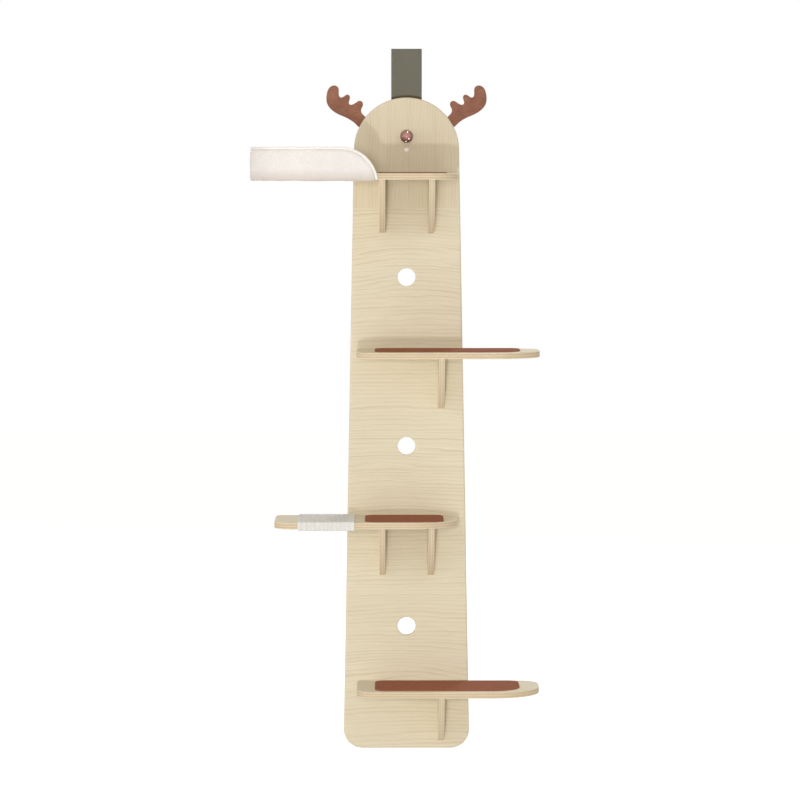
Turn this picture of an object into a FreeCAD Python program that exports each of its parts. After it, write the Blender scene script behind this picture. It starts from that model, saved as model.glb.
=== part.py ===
"""Wall mounted cat tree: a tall tapered board with a reindeer head, four steps and a plush nest.

Frame: millimetres, +Z up, +X to the right seen from the front, the wall is the plane y = 0 and the
steps reach towards -Y. The origin is the middle of the rear splice plate, at the height of the
seam between the head board and the body board.
"""
import FreeCAD
import Part
import math
import os

import Sketcher

DIMENSIONS = {
    # boards
    "board_thick": 15,
    "wall_gap": 12,
    "body_length": 1300,
    "head_radius": 125.5,
    "head_straight": 137.5,
    "foot_width": 301.5,
    "foot_corner": 45,
    "board_round": 5,
    "hole_round": 1.5,
    "peep_dia": 43,
    "peep_low": 295.5,
    "peep_middle": 730,
    "peep_high": 1134.5,
    # steps, heights measured to their tops
    "shelf_thick": 15,
    "shelf_depth": 200,
    "shelf_length": 433.5,
    "right_reach": 315,
    "left_reach": 312.5,
    "lower_height": 164,
    "shelf_pitch": 400,
    "sweep_corner": 110,
    "heel_corner": 45,
    "front_corner": 45,
    "back_corner": 20,
    "shelf_ease": 1.5,
    "platform_height": 83.5,
    "platform_depth": 330,
    "platform_right": 116,
    "platform_left": 352.5,
    "platform_corner": 60,
    # brackets
    "bracket_thick": 15,
    "bracket_height": 128,
    "bracket_depth": 165,
    "deep_bracket_depth": 240,
    "bracket_toe": 10,
    "bracket_sweep": 330,
    "bracket_chamfer": 1.2,
    "pair_offset": 58,
    "single_offset": 82.5,
    # connector bolts and barrel nuts
    "bolt_dia": 6,
    "bolt_head_dia": 14,
    "bolt_head_thick": 2.5,
    "bolt_reach": 36,
    "bolt_slack": 0.25,
    "nut_dia": 10,
    "nut_depth": 29,
    "nut_slack": 0.1,
    "nut_skin": 3,
    "high_bolt_drop": 30,
    "low_bolt_drop": 92,
    "pair_bolt_offset": 100,
    "single_bolt_left": 75,
    "single_bolt_right": 20,
    # wood screws
    "screw_dia": 4,
    "screw_head_dia": 8,
    "screw_head_thick": 2.5,
    "screw_slack": 0.1,
    "top_screw_length": 38,
    "top_screw_back": 105,
    "plate_screw_length": 22,
    # rear splice plate
    "splice_width": 200,
    "splice_up": 60,
    "splice_down": 70,
    "splice_corner": 12,
    "splice_bore": 3.5,
    "splice_screw_x": 84,
    "splice_screw_up": 42,
    "splice_screw_down": 52,
    # felt mats
    "mat_thick": 3,
    "mat_corner": 25,
    "mat_sweep": 65,
    "mat_left_margin": 43,
    "mat_right_margin": 47,
    "mat_front_margin": 20,
    "mat_back_margin": 11,
    "middle_mat_left": 99,
    "middle_mat_margin": 34,
    "platform_mat_left": 68,
    "platform_mat_margin": 24,
    # wrapped grip on the middle step
    "wrap_outer_end": 258,
    "wrap_width": 134,
    "wrap_thick": 3,
    "wrap_slack": 0.3,
    "wrap_round": 2,
    # nest
    "nest_wall_thick": 4,
    "plush_thick": 9,
    "plush_slack": 0.3,
    "nest_height": 77.5,
    "nest_sag": 2,
    "nest_straight": 30,
    "nest_end_radius": 85,
    "nest_front_end": 67.5,
    "nest_board_gap": 9,
    "piping_dia": 6,
    "cushion_thick": 22,
    "cushion_round": 7,
    "cushion_gap": 1,
    "cushion_end_back": 34,
    "nest_screw_length": 20,
    "nest_screw_dia": 3.5,
    "nest_screw_head_dia": 7,
    "nest_screw_head_thick": 2,
    "nest_screw_pitch": 95,
    # antlers
    "antler_thick": 9,
    "antler_width": 86,
    "antler_rise": 86,
    "antler_angle": 32.5,
    "antler_screw_length": 19,
    # nose, wall screw cap
    "nose_dia": 31,
    "nose_seat_dia": 22,
    "nose_height": 170,
    "nose_pilot": 14,
    "cap_dia": 10,
    "cap_dome": 1.6,
    "cap_plug_dia": 8.4,
    "cap_plug_length": 4,
    "cap_slack": 0.1,
    "wall_hole_dia": 6,
    "wall_hole_height": 138,
    # hanging strap
    "strap_width": 73,
    "strap_thick": 2.5,
    "strap_rise": 114,
    "strap_foot": 150,
    "loop_gap": 5.5,
    "strap_turn": 20,
    "strap_step": 238,
    "strap_slack": 0.2,
    "clamp_width": 90,
    "clamp_height": 44,
    "clamp_thick": 2,
    "clamp_margin": 3,
    "clamp_corner": 5,
    "clamp_screw_x": 27,
    "clamp_screw_in": 8,
    "clamp_screw_length": 20,
    # foam pads behind the board
    "pad_dia": 40,
    "pad_edge": 32,
    "pad_low": 55,
    "pad_high": 610,
}

doc = FreeCAD.newDocument("cat_tree")
sheet = doc.addObject("Spreadsheet::Sheet", "dims")
for row, (alias, number) in enumerate(DIMENSIONS.items(), start=1):
    sheet.set(f"A{row}", alias)
    sheet.set(f"B{row}", str(number))
    sheet.setAlias(f"B{row}", alias)
doc.recompute()


class Size:
    """A length known both as a number and as an expression over the sheet."""

    def __init__(self, value, text):
        self.value = float(value)
        self.text = text

    def __add__(self, other):
        other = as_size(other)
        return Size(self.value + other.value, f"({self.text} + {other.text})")

    def __sub__(self, other):
        other = as_size(other)
        return Size(self.value - other.value, f"({self.text} - {other.text})")

    def __mul__(self, other):
        other = as_size(other)
        return Size(self.value * other.value, f"({self.text} * {other.text})")

    def __truediv__(self, other):
        other = as_size(other)
        return Size(self.value / other.value, f"({self.text} / {other.text})")

    def __neg__(self):
        return Size(-self.value, f"(0 - {self.text})")

    def __float__(self):
        return self.value


def as_size(number):
    """A plain number as a Size; a Size stays as it is."""
    if isinstance(number, Size):
        return number
    return Size(number, f"({number})")


def root(size):
    """Square root of a Size."""
    return Size(math.sqrt(size.value), f"sqrt({size.text})")


def dim(alias):
    """The Size held in the sheet's cell with this alias."""
    return Size(sheet.get(alias), f"dims.{alias}")


ZERO = as_size(0)
FLAT = 1e-4       # how far an edge may stray from a plane that it lies in
LEAST_CUT = 1e-3  # volume that every cut takes away at least
EASE_SIZES = {"Fillet": "Radius", "Chamfer": "Size"}
PLANES = {"X": ("YZ_Plane", 1), "Y": ("XZ_Plane", -1), "Z": ("XY_Plane", 1)}
NODES = []


# ---------------------------------------------------------------- sketch and feature helpers

def bind(thing, path, size):
    """Give a property its value, as an expression where it comes from the sheet."""
    thing.setExpression(path, size.text)


def new_body(label, x=ZERO, y=ZERO, z=ZERO, keep=True):
    """An empty body, placed by sheet expressions; kept bodies are written as nodes."""
    body = doc.addObject("PartDesign::Body", label)
    body.Label = label
    for axis, size in zip("xyz", (x, y, z)):
        bind(body, f"Placement.Base.{axis}", as_size(size))
    if keep:
        NODES.append(body)
    return body


def new_sketch(body, name, axis, start):
    """A sketch square to an axis, at the place `start` along it."""
    role, sign = PLANES[axis]
    plane = next(f for f in body.Origin.OriginFeatures if f.Role == role)
    sketch = body.newObject("Sketcher::SketchObject", name)
    sketch.AttachmentSupport = [(plane, "")]
    sketch.MapMode = "FlatFace"
    bind(sketch, "AttachmentOffset.Base.z", as_size(start) * sign)
    return sketch


def arc_between(start, end, radius, turn):
    """Minor arc from start to end; turn is 1 for counterclockwise and -1 for clockwise."""
    chord = end - start
    middle = (start + end) * 0.5
    rise = math.sqrt(max(radius ** 2 - (chord.Length / 2) ** 2, 0))
    side = FreeCAD.Vector(-chord.y, chord.x, 0).normalize()
    centre = middle + side * (rise * turn)
    first, last = (start, end) if turn > 0 else (end, start)
    low = math.atan2(first.y - centre.y, first.x - centre.x)
    high = math.atan2(last.y - centre.y, last.x - centre.x)
    circle = Part.Circle(centre, FreeCAD.Vector(0, 0, 1), radius)
    return Part.ArcOfCircle(circle, low, high)


def draw(sketch, steps, closed=True):
    """Draw an outline. A step (x, y) is a line to that point and (x, y, radius, turn) is an arc."""
    steps = [tuple(as_size(part) for part in step[:3]) + tuple(step[3:]) for step in steps]
    points = [FreeCAD.Vector(float(step[0]), float(step[1]), 0) for step in steps]
    base = sketch.GeometryCount
    first = 0 if closed else 1
    rules = []
    sizes = []
    ends = []
    for number in range(first, len(steps)):
        step = steps[number]
        here, there = points[number - 1], points[number]
        geometry = base + number - first
        if len(step) == 4:
            sketch.addGeometry(arc_between(here, there, float(step[2]), step[3]), False)
            rules.append(Sketcher.Constraint("Radius", geometry, float(step[2])))
            sizes.append(step[2])
            ends.append((1, 2) if step[3] > 0 else (2, 1))
        else:
            sketch.addGeometry(Part.LineSegment(here, there), False)
            ends.append((1, 2))
        for kind, size in (("DistanceX", step[0]), ("DistanceY", step[1])):
            rules.append(Sketcher.Constraint(kind, -1, 1, geometry, ends[-1][1], float(size)))
            sizes.append(size)
    if not closed:
        for kind, size in (("DistanceX", steps[0][0]), ("DistanceY", steps[0][1])):
            rules.append(Sketcher.Constraint(kind, -1, 1, base, ends[0][0], float(size)))
            sizes.append(size)
    for number in range(len(ends) - (0 if closed else 1)):
        follower = (number + 1) % len(ends)
        rules.append(Sketcher.Constraint("Coincident", base + number, ends[number][1],
                                         base + follower, ends[follower][0]))
        sizes.append(None)
    add_rules(sketch, rules, sizes)


def add_rules(sketch, rules, sizes):
    """Add constraints and tie each one that has a size to the sheet."""
    base = sketch.ConstraintCount
    sketch.addConstraint(rules)
    for number, size in enumerate(sizes):
        if size is not None and "dims." in size.text:
            bind(sketch, f"Constraints[{base + number}]", size)


def draw_circles(sketch, centres, radius):
    """Circles of one radius about the given centres."""
    rules = []
    sizes = []
    for x, y in centres:
        x, y = as_size(x), as_size(y)
        place = FreeCAD.Vector(x.value, y.value, 0)
        number = sketch.addGeometry(Part.Circle(place, FreeCAD.Vector(0, 0, 1), radius.value), False)
        rules.append(Sketcher.Constraint("Radius", number, radius.value))
        rules.append(Sketcher.Constraint("DistanceX", -1, 1, number, 3, x.value))
        rules.append(Sketcher.Constraint("DistanceY", -1, 1, number, 3, y.value))
        sizes.extend((radius, x, y))
    add_rules(sketch, rules, sizes)


def sweep_out(body, kind, name, axis, start, length, forward, fill):
    """Pad or pocket from a sketch; `forward` is 1 or -1 along the axis, `fill` draws the sketch."""
    sketch = new_sketch(body, f"{name}_sketch", axis, start)
    fill(sketch)
    feature = body.newObject(f"PartDesign::{kind}", name)
    feature.Profile = sketch
    bind(feature, "Length", as_size(length))
    along_normal = forward == PLANES[axis][1]
    feature.Reversed = along_normal if kind == "Pocket" else not along_normal
    return feature


def pad(body, name, axis, start, length, forward, steps):
    """Add the outline's prism."""
    return sweep_out(body, "Pad", name, axis, start, length, forward, lambda s: draw(s, steps))


def pocket(body, name, axis, start, length, forward, steps):
    """Cut the outline's prism and make sure that it removed something."""
    doc.recompute()
    before = body.Shape.Volume
    sweep_out(body, "Pocket", name, axis, start, length, forward, lambda s: draw(s, steps))
    check_cut(body, name, before)


def drill(body, name, axis, start, length, forward, centres, radius):
    """Cut round holes and make sure that they removed something."""
    doc.recompute()
    before = body.Shape.Volume
    sweep_out(body, "Pocket", name, axis, start, length, forward,
              lambda s: draw_circles(s, centres, as_size(radius)))
    check_cut(body, name, before)


def check_cut(body, name, before):
    """Stop if a cut took nothing away."""
    doc.recompute()
    if body.Shape.Volume > before - LEAST_CUT:
        raise RuntimeError(f"{body.Label}: {name} cuts nothing")


def revolve(body, name, steps):
    """Turn an outline of the XY plane about the Y axis."""
    sketch = new_sketch(body, f"{name}_sketch", "Z", ZERO)
    draw(sketch, steps)
    feature = body.newObject("PartDesign::Revolution", name)
    feature.Profile = sketch
    feature.ReferenceAxis = (sketch, ["V_Axis"])
    feature.Angle = 360
    return feature


def ease(body, name, size, pick, kind="Fillet"):
    """Round or chamfer every edge of the body that `pick` accepts."""
    doc.recompute()
    edges = [f"Edge{number}" for number, edge in enumerate(body.Shape.Edges, start=1)
             if pick(edge.BoundBox)]
    base = body.Tip
    feature = body.newObject(f"PartDesign::{kind}", name)
    feature.Base = (base, edges)
    bind(feature, EASE_SIZES[kind], size)


def rectangle(left, right, back, front, radii):
    """Rounded rectangle seen from above; radii are left back, right back, right front, left front."""
    back_left, back_right, front_right, front_left = (as_size(radius) for radius in radii)
    return [
        (left + back_left, back, back_left, -1),
        (right - back_right, back),
        (right, back - back_right, back_right, -1),
        (right, front + front_right),
        (right - front_right, front, front_right, -1),
        (left + front_left, front),
        (left, front + front_left, front_left, -1),
        (left, back - back_left),
    ]


def place_copies(label, pattern, spots):
    """One node with a copy of the pattern's solid at each spot, a point with an optional turn."""
    doc.recompute()
    solids = []
    for place, turn in spots:
        copy = pattern.Shape.copy()
        copy.Placement = FreeCAD.Placement(FreeCAD.Vector(*(float(part) for part in place)), turn)
        solids.append(copy)
    return part_node(label, Part.makeCompound(solids) if len(solids) > 1 else solids[0])


def part_node(label, shape):
    """A node whose shape comes from Part's own functions."""
    node = doc.addObject("Part::Feature", label)
    node.Label = label
    node.Shape = shape
    NODES.append(node)
    return node


# ---------------------------------------------------------------- shared places

board_back = -dim("wall_gap")
board_front = board_back - dim("board_thick")
foot_half = dim("foot_width") / 2
taper_length = dim("head_straight") + dim("body_length") - dim("foot_corner")


def half_width(height):
    """Half of the board's width at a height above the seam, below the head's arc."""
    drop = dim("head_straight") - height
    return dim("head_radius") + (foot_half - dim("head_radius")) * drop / taper_length


seam_half = half_width(ZERO)
head_top = dim("head_straight") + dim("head_radius")
lower_top = dim("lower_height") - dim("body_length")
middle_top = lower_top + dim("shelf_pitch")
upper_top = middle_top + dim("shelf_pitch")
platform_top = dim("platform_height")
nest_corner = (dim("platform_depth") - dim("nest_straight")) / 2
pair = (-dim("pair_offset"), dim("pair_offset"))
single = (dim("single_offset"),)
pair_bolts = (-dim("pair_bolt_offset"), ZERO)
single_bolts = (-dim("single_bolt_left"), dim("single_bolt_right"))
STEPS = [
    ("platform", platform_top, pair, pair_bolts),
    ("upper", upper_top, single, single_bolts),
    ("middle", middle_top, pair, pair_bolts),
    ("lower", lower_top, single, single_bolts),
]


def shelf_bolt_places(top, xs):
    """Centres of the bolts that enter a step's back edge, as (x, z)."""
    return [(x, top - dim("shelf_thick") / 2) for x in xs]


def bracket_bolt_places(top, xs, drops=("high_bolt_drop", "low_bolt_drop")):
    """Centres of the bolts that enter the back edges of a step's brackets, as (x, z)."""
    underside = top - dim("shelf_thick")
    return [(x, underside - dim(drop)) for x in xs for drop in drops]


# ---------------------------------------------------------------- boards

def make_head_board():
    """Round-topped head board with its seam edge at z = 0."""
    board = new_body("head_board", y=board_back)
    radius = dim("head_radius")
    pad(board, "panel", "Y", ZERO, dim("board_thick"), -1, [
        (-seam_half, ZERO),
        (-radius, dim("head_straight")),
        (ZERO, head_top, radius, -1),
        (radius, dim("head_straight"), radius, -1),
        (seam_half, ZERO),
    ])
    bolts = shelf_bolt_places(platform_top, pair_bolts)
    bolts += bracket_bolt_places(platform_top, pair, ("high_bolt_drop",))
    drill(board, "bolt_holes", "Y", ZERO, dim("board_thick"), -1, bolts,
          dim("bolt_dia") / 2 + dim("bolt_slack"))
    drill(board, "nose_hole", "Y", ZERO, dim("board_thick"), -1, [(ZERO, dim("nose_height"))],
          dim("screw_dia") / 2 + dim("screw_slack"))
    drill(board, "wall_hole", "Y", ZERO, dim("board_thick"), -1, [(ZERO, dim("wall_hole_height"))],
          dim("wall_hole_dia") / 2)
    drill(board, "cap_seat", "Y", -dim("board_thick"), dim("cap_plug_length") + dim("cap_slack"), 1,
          [(ZERO, dim("wall_hole_height"))], dim("cap_plug_dia") / 2 + dim("cap_slack"))
    screw_hole = dim("screw_dia") / 2 + dim("screw_slack")
    drill(board, "clamp_pilots", "Y", ZERO,
          clamp_screw_bite + dim("screw_slack"), -1, clamp_screw_places(), screw_hole)
    drill(board, "antler_pilots", "Y", ZERO, antler_screw_bite + dim("screw_slack"), -1,
          antler_screw_places(), screw_hole)
    drill(board, "splice_pilots", "Y", ZERO, splice_screw_bite + dim("screw_slack"), -1,
          splice_screw_places(dim("splice_screw_up")), screw_hole)
    round_front(board)


def make_body_board():
    """Tapered lower board with three peep holes."""
    board = new_body("body_board", y=board_back)
    corner = dim("foot_corner")
    foot = -dim("body_length")
    pad(board, "panel", "Y", ZERO, dim("board_thick"), -1, [
        (-seam_half, ZERO),
        (seam_half, ZERO),
        (foot_half, foot + corner),
        (foot_half - corner, foot, corner, -1),
        (corner - foot_half, foot),
        (-foot_half, foot + corner, corner, -1),
    ])
    bolts = bracket_bolt_places(platform_top, pair, ("low_bolt_drop",))
    for _, top, bracket_xs, bolt_xs in STEPS[1:]:
        bolts += shelf_bolt_places(top, bolt_xs) + bracket_bolt_places(top, bracket_xs)
    drill(board, "bolt_holes", "Y", ZERO, dim("board_thick"), -1, bolts,
          dim("bolt_dia") / 2 + dim("bolt_slack"))
    drill(board, "splice_pilots", "Y", ZERO, splice_screw_bite + dim("screw_slack"), -1,
          splice_screw_places(-dim("splice_screw_down")), dim("screw_dia") / 2 + dim("screw_slack"))
    round_front(board)
    peeps = [(ZERO, foot + dim(height)) for height in ("peep_low", "peep_middle", "peep_high")]
    wide = dim("peep_dia")
    drill(board, "peep_holes", "Y", ZERO, dim("board_thick"), -1, peeps, wide / 2)
    ease(board, "peep_round", dim("hole_round"),
         lambda box: on_front(box) and abs(box.XLength - float(wide)) < float(dim("hole_round")))


def lies_at(low, high, place):
    """Whether the span from low to high lies in the plane at this place."""
    return abs(low - place) < FLAT and abs(high - place) < FLAT


def on_front(box):
    """Whether an edge lies in the boards' front face."""
    return lies_at(box.YMin, box.YMax, float(board_front))


def round_front(board):
    """Round the outline's front edge and leave the seam and the small holes sharp."""
    small = float(dim("nut_dia"))
    ease(board, "front_round", dim("board_round"),
         lambda box: on_front(box) and not lies_at(box.ZMin, box.ZMax, 0)
         and max(box.XLength, box.ZLength) > small)


# ---------------------------------------------------------------- steps

def make_step(label, top, left, right, depth, radii, bracket_xs, bolt_xs):
    """One plywood step with its top at z = 0, its back edge at y = 0 and all its joint holes."""
    step = new_body(label, y=board_front, z=top)
    thick = dim("shelf_thick")
    pad(step, "panel", "Z", ZERO, thick, -1, rectangle(left, right, ZERO, -depth, radii))
    ease(step, "eased_edges", dim("shelf_ease"),
         lambda box: box.ZLength < FLAT and box.YMax < float(board_front) - FLAT)
    drill(step, "bolt_holes", "Y", ZERO, dim("bolt_reach") + dim("nut_slack"), -1,
          [(x, -thick / 2) for x in bolt_xs], dim("bolt_dia") / 2 + dim("bolt_slack"))
    drill(step, "nut_holes", "Z", -thick, thick - dim("nut_skin"), 1,
          [(x, -dim("nut_depth")) for x in bolt_xs], dim("nut_dia") / 2)
    spots = [(x, -dim("top_screw_back")) for x in bracket_xs]
    drill(step, "screw_holes", "Z", ZERO, thick, -1, spots, dim("screw_dia") / 2 + dim("screw_slack"))
    drill(step, "screw_heads", "Z", ZERO, dim("screw_head_thick") + dim("screw_slack"), -1, spots,
          dim("screw_head_dia") / 2 + dim("screw_slack"))
    return step


def make_steps():
    """The platform and the three shelves."""
    corners = [dim(name) for name in ("back_corner", "heel_corner", "sweep_corner", "front_corner")]
    right = dim("right_reach")
    for name, top, bracket_xs, bolt_xs in STEPS:
        if name == "platform":
            radii = (nest_corner, dim("back_corner"), dim("platform_corner"), nest_corner)
            platform = make_step("top_platform", top, -dim("platform_left"), dim("platform_right"),
                                 dim("platform_depth"), radii, bracket_xs, bolt_xs)
            drill_nest_pilots(platform)
        elif name == "middle":
            left = -dim("left_reach")
            shelf = make_step("middle_shelf", top, left, left + dim("shelf_length"),
                              dim("shelf_depth"), corners, bracket_xs, bolt_xs)
            recess_for_wrap(shelf)
        else:
            make_step(f"{name}_shelf", top, right - dim("shelf_length"), right, dim("shelf_depth"),
                      corners, bracket_xs, bolt_xs)


def recess_for_wrap(shelf):
    """Set back the rear edge where the wrap passes between the shelf and the board."""
    left = -dim("wrap_outer_end") - dim("wrap_slack")
    right = left + dim("wrap_width") + dim("wrap_slack") * 2
    deep = -dim("wrap_thick") - dim("wrap_slack") * 2
    over = dim("wrap_thick")
    pocket(shelf, "wrap_recess", "Z", ZERO, dim("shelf_thick"), -1,
           [(left, deep), (right, deep), (right, over), (left, over)])


def make_wrap():
    """Sleeve wound round the outer part of the middle shelf."""
    wrap = new_body("grip_wrap", y=board_front, z=middle_top)
    left = -dim("wrap_outer_end")
    slack = dim("wrap_slack")
    thick = dim("wrap_thick")
    back = -slack
    front = -dim("shelf_depth") - slack - thick
    high = slack + thick
    low = -dim("shelf_thick") - high
    pad(wrap, "sleeve", "X", left, dim("wrap_width"), 1,
        [(back, high), (back, low), (front, low), (front, high)])
    ease(wrap, "sleeve_round", dim("wrap_round"), lambda box: box.YLength + box.ZLength < FLAT)
    pocket(wrap, "shelf_slot", "X", left, dim("wrap_width"), 1,
           [(back - thick, high - thick), (back - thick, low + thick),
            (front + thick, low + thick), (front + thick, high - thick)])


# ---------------------------------------------------------------- brackets

def make_bracket(label, x, top, depth):
    """Gusset under a step: deep at the top, swept back to a short toe on the board."""
    bracket = new_body(label, x=x, y=board_front, z=top - dim("shelf_thick"))
    half = dim("bracket_thick") / 2
    foot = -dim("bracket_height")
    pad(bracket, "gusset", "X", -half, dim("bracket_thick"), 1, [
        (ZERO, ZERO),
        (ZERO, foot),
        (-dim("bracket_toe"), foot),
        (-depth, ZERO, dim("bracket_sweep"), -1),
    ])
    toe = float(dim("bracket_toe"))
    ease(bracket, "front_chamfer", dim("bracket_chamfer"),
         lambda box: box.XLength < FLAT and min(box.YLength, box.ZLength) > toe + FLAT, "Chamfer")
    heights = [-dim("high_bolt_drop"), -dim("low_bolt_drop")]
    drill(bracket, "bolt_holes", "Y", ZERO, dim("bolt_reach") + dim("nut_slack"), -1,
          [(ZERO, height) for height in heights], dim("bolt_dia") / 2 + dim("bolt_slack"))
    drill(bracket, "nut_holes", "X", -half, dim("bracket_thick"), 1,
          [(-dim("nut_depth"), height) for height in heights], dim("nut_dia") / 2)
    drill(bracket, "screw_hole", "Z", ZERO,
          dim("top_screw_length") - dim("shelf_thick") + dim("screw_slack"), -1,
          [(ZERO, -dim("top_screw_back"))], dim("screw_dia") / 2 + dim("screw_slack"))


def make_brackets():
    """Two brackets where the step hangs over to the left, one where it hangs over to the right."""
    for name, top, xs, _ in STEPS:
        depth = dim("deep_bracket_depth" if name == "platform" else "bracket_depth")
        sides = ("left", "right") if len(xs) == 2 else ("",)
        for side, x in zip(sides, xs):
            make_bracket(f"{name}_bracket_{side}".rstrip("_"), x, top, depth)


# ---------------------------------------------------------------- fasteners

def screw_pattern(label, head_dia, head_thick, shank_dia, length):
    """Pan-headed screw along -Y with the outside of its head at y = 0."""
    screw = new_body(label, keep=False)
    revolve(screw, "turned", [
        (ZERO, ZERO),
        (head_dia / 2, ZERO),
        (head_dia / 2, -head_thick),
        (shank_dia / 2, -head_thick),
        (shank_dia / 2, -length),
        (ZERO, -length),
    ])
    return screw


def nut_pattern(label, length, hole_from_end):
    """Barrel nut standing along Z with its cross hole along Y at the origin."""
    nut = new_body(label, keep=False)
    radius = dim("nut_dia") / 2 - dim("nut_slack")
    start = -hole_from_end
    sweep_out(nut, "Pad", "barrel", "Z", start, length, 1,
              lambda s: draw_circles(s, [(ZERO, ZERO)], radius))
    drill(nut, "cross_hole", "Y", radius, radius * 2, -1, [(ZERO, ZERO)],
          dim("bolt_dia") / 2 + dim("nut_slack"))
    return nut


def bolt_pattern(label, extra):
    """Connector bolt; extra is what it passes besides the board."""
    head = dim("bolt_head_thick")
    return screw_pattern(label, dim("bolt_head_dia"), head, dim("bolt_dia"),
                         head + extra + dim("board_thick") + dim("bolt_reach"))


def at(places, y):
    """Spots for fasteners that enter from behind, at (x, z) places."""
    return [((x, y, z), FreeCAD.Rotation()) for x, z in places]


def make_connectors():
    """Bolts and barrel nuts that hold the steps and brackets to the boards."""
    short = bolt_pattern("short_bolt_pattern", ZERO)
    head_face = board_back + dim("bolt_head_thick")
    shelf_places = [spot for _, top, _, xs in STEPS for spot in shelf_bolt_places(top, xs)]
    place_copies("shelf_bolts", short, at(shelf_places, head_face))
    low_places = [spot for _, top, xs, _ in STEPS[1:] for spot in bracket_bolt_places(top, xs)]
    place_copies("bracket_bolts", short, at(low_places, head_face))
    grip = dim("wall_gap") - dim("splice_bore")
    long = bolt_pattern("long_bolt_pattern", grip)
    splice_places = bracket_bolt_places(platform_top, pair)
    place_copies("splice_bolts", long, at(splice_places, grip + head_face))
    nut_y = board_front - dim("nut_depth")
    half = dim("shelf_thick") / 2
    lift = half - dim("nut_slack")
    blind = nut_pattern("blind_nut_pattern", dim("shelf_thick") - dim("nut_skin") - dim("nut_slack") * 2,
                        lift)
    place_copies("shelf_nuts", blind, at(shelf_places, nut_y))
    reach = dim("bracket_thick") / 2 - dim("nut_slack")
    cross = nut_pattern("cross_nut_pattern", reach * 2, reach)
    lying = FreeCAD.Rotation(FreeCAD.Vector(0, 1, 0), 90)
    spots = [(place, lying) for place, _ in at(splice_places + low_places, nut_y)]
    place_copies("bracket_nuts", cross, spots)


def make_top_screws():
    """Screws from above through each step into its brackets, under the mats."""
    pattern = screw_pattern("top_screw_pattern", dim("screw_head_dia"), dim("screw_head_thick"),
                            dim("screw_dia"), dim("top_screw_length"))
    down = FreeCAD.Rotation(FreeCAD.Vector(1, 0, 0), 90)
    y = board_front - dim("top_screw_back")
    spots = [((x, y, top), down) for _, top, xs, _ in STEPS for x in xs]
    place_copies("step_screws", pattern, spots)


# ---------------------------------------------------------------- rear splice plate and pads

splice_screw_bite = dim("plate_screw_length") - dim("wall_gap") + dim("splice_bore")


def splice_screw_places(height):
    """The two corner screws of the splice plate at a height, as (x, z)."""
    return [(dim("splice_screw_x") * side, height) for side in (-1, 1)]


def make_splice_plate():
    """Plywood plate behind the seam; its back is the wall face."""
    plate = new_body("splice_plate")
    half = dim("splice_width") / 2
    corner = [dim("splice_corner")] * 4
    thick = dim("wall_gap")
    pad(plate, "panel", "Y", ZERO, thick, -1,
        rectangle(-half, half, dim("splice_up"), -dim("splice_down"), corner))
    bolts = bracket_bolt_places(platform_top, pair)
    bore = dim("splice_bore")
    drill(plate, "bolt_holes", "Y", ZERO, thick, -1, bolts, dim("bolt_dia") / 2 + dim("bolt_slack"))
    drill(plate, "bolt_seats", "Y", ZERO, bore, -1, bolts, dim("bolt_head_dia") / 2 + dim("bolt_slack"))
    screws = splice_screw_places(dim("splice_screw_up")) + splice_screw_places(-dim("splice_screw_down"))
    drill(plate, "screw_holes", "Y", ZERO, thick, -1, screws,
          dim("screw_dia") / 2 + dim("screw_slack"))
    drill(plate, "screw_seats", "Y", ZERO, bore, -1, screws,
          dim("screw_head_dia") / 2 + dim("screw_slack"))
    pattern = screw_pattern("plate_screw_pattern", dim("screw_head_dia"), dim("screw_head_thick"),
                            dim("screw_dia"), dim("plate_screw_length"))
    place_copies("splice_screws", pattern, at(screws, dim("screw_head_thick") - bore))


def make_pads():
    """Round foam pads that keep the board level with the splice plate."""
    pattern = new_body("pad_pattern", keep=False)
    sweep_out(pattern, "Pad", "disc", "Y", ZERO, dim("wall_gap"), -1,
              lambda s: draw_circles(s, [(ZERO, ZERO)], dim("pad_dia") / 2))
    spots = []
    for height in (dim("pad_low") - dim("body_length"), dim("pad_high") - dim("body_length")):
        x = half_width(height) - dim("pad_edge")
        spots += at([(-x, height), (x, height)], ZERO)
    place_copies("wall_pads", pattern, spots)


# ---------------------------------------------------------------- felt mats

def make_mat(label, top, left, right, depth, sweep):
    """Felt mat lying on a step; sweep is the radius of its right front corner."""
    mat = new_body(label, y=board_front, z=top)
    small = dim("mat_corner")
    pad(mat, "felt", "Z", ZERO, dim("mat_thick"), 1,
        rectangle(left, right, -dim("mat_back_margin"), dim("mat_front_margin") - depth,
                  (small, small, sweep, small)))


def make_mats():
    """A mat on each step."""
    right = dim("right_reach")
    for name, top in (("upper", upper_top), ("lower", lower_top)):
        make_mat(f"{name}_mat", top, right - dim("shelf_length") + dim("mat_left_margin"),
                 right - dim("mat_right_margin"), dim("shelf_depth"), dim("mat_sweep"))
    make_mat("middle_mat", middle_top, -dim("middle_mat_left"),
             dim("shelf_length") - dim("left_reach") - dim("middle_mat_margin"), dim("shelf_depth"),
             dim("mat_corner"))
    make_mat("platform_mat", platform_top, -dim("platform_mat_left"),
             dim("platform_right") - dim("platform_mat_margin"), dim("platform_depth"),
             dim("mat_corner"))


# ---------------------------------------------------------------- nest
# Plan offsets are counted outwards from the platform's edge. All sloping ends share one centre.

nest_bottom = -dim("shelf_thick") - dim("nest_sag")
nest_rim = nest_bottom + dim("nest_height")
plush = dim("plush_thick")
slack = dim("plush_slack")
outer_face = dim("nest_wall_thick") + slack + plush
inner_face = -slack - plush
rim_radius = dim("nest_end_radius")
piping_radius = dim("piping_dia") / 2
cover_radius = rim_radius - dim("piping_dia") - slack
cavity_radius = cover_radius - plush
wall_radius = cavity_radius - slack
end_height = nest_rim - rim_radius
front_end = -dim("nest_front_end")
back_end = -half_width(platform_top) - dim("nest_board_gap")


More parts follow.
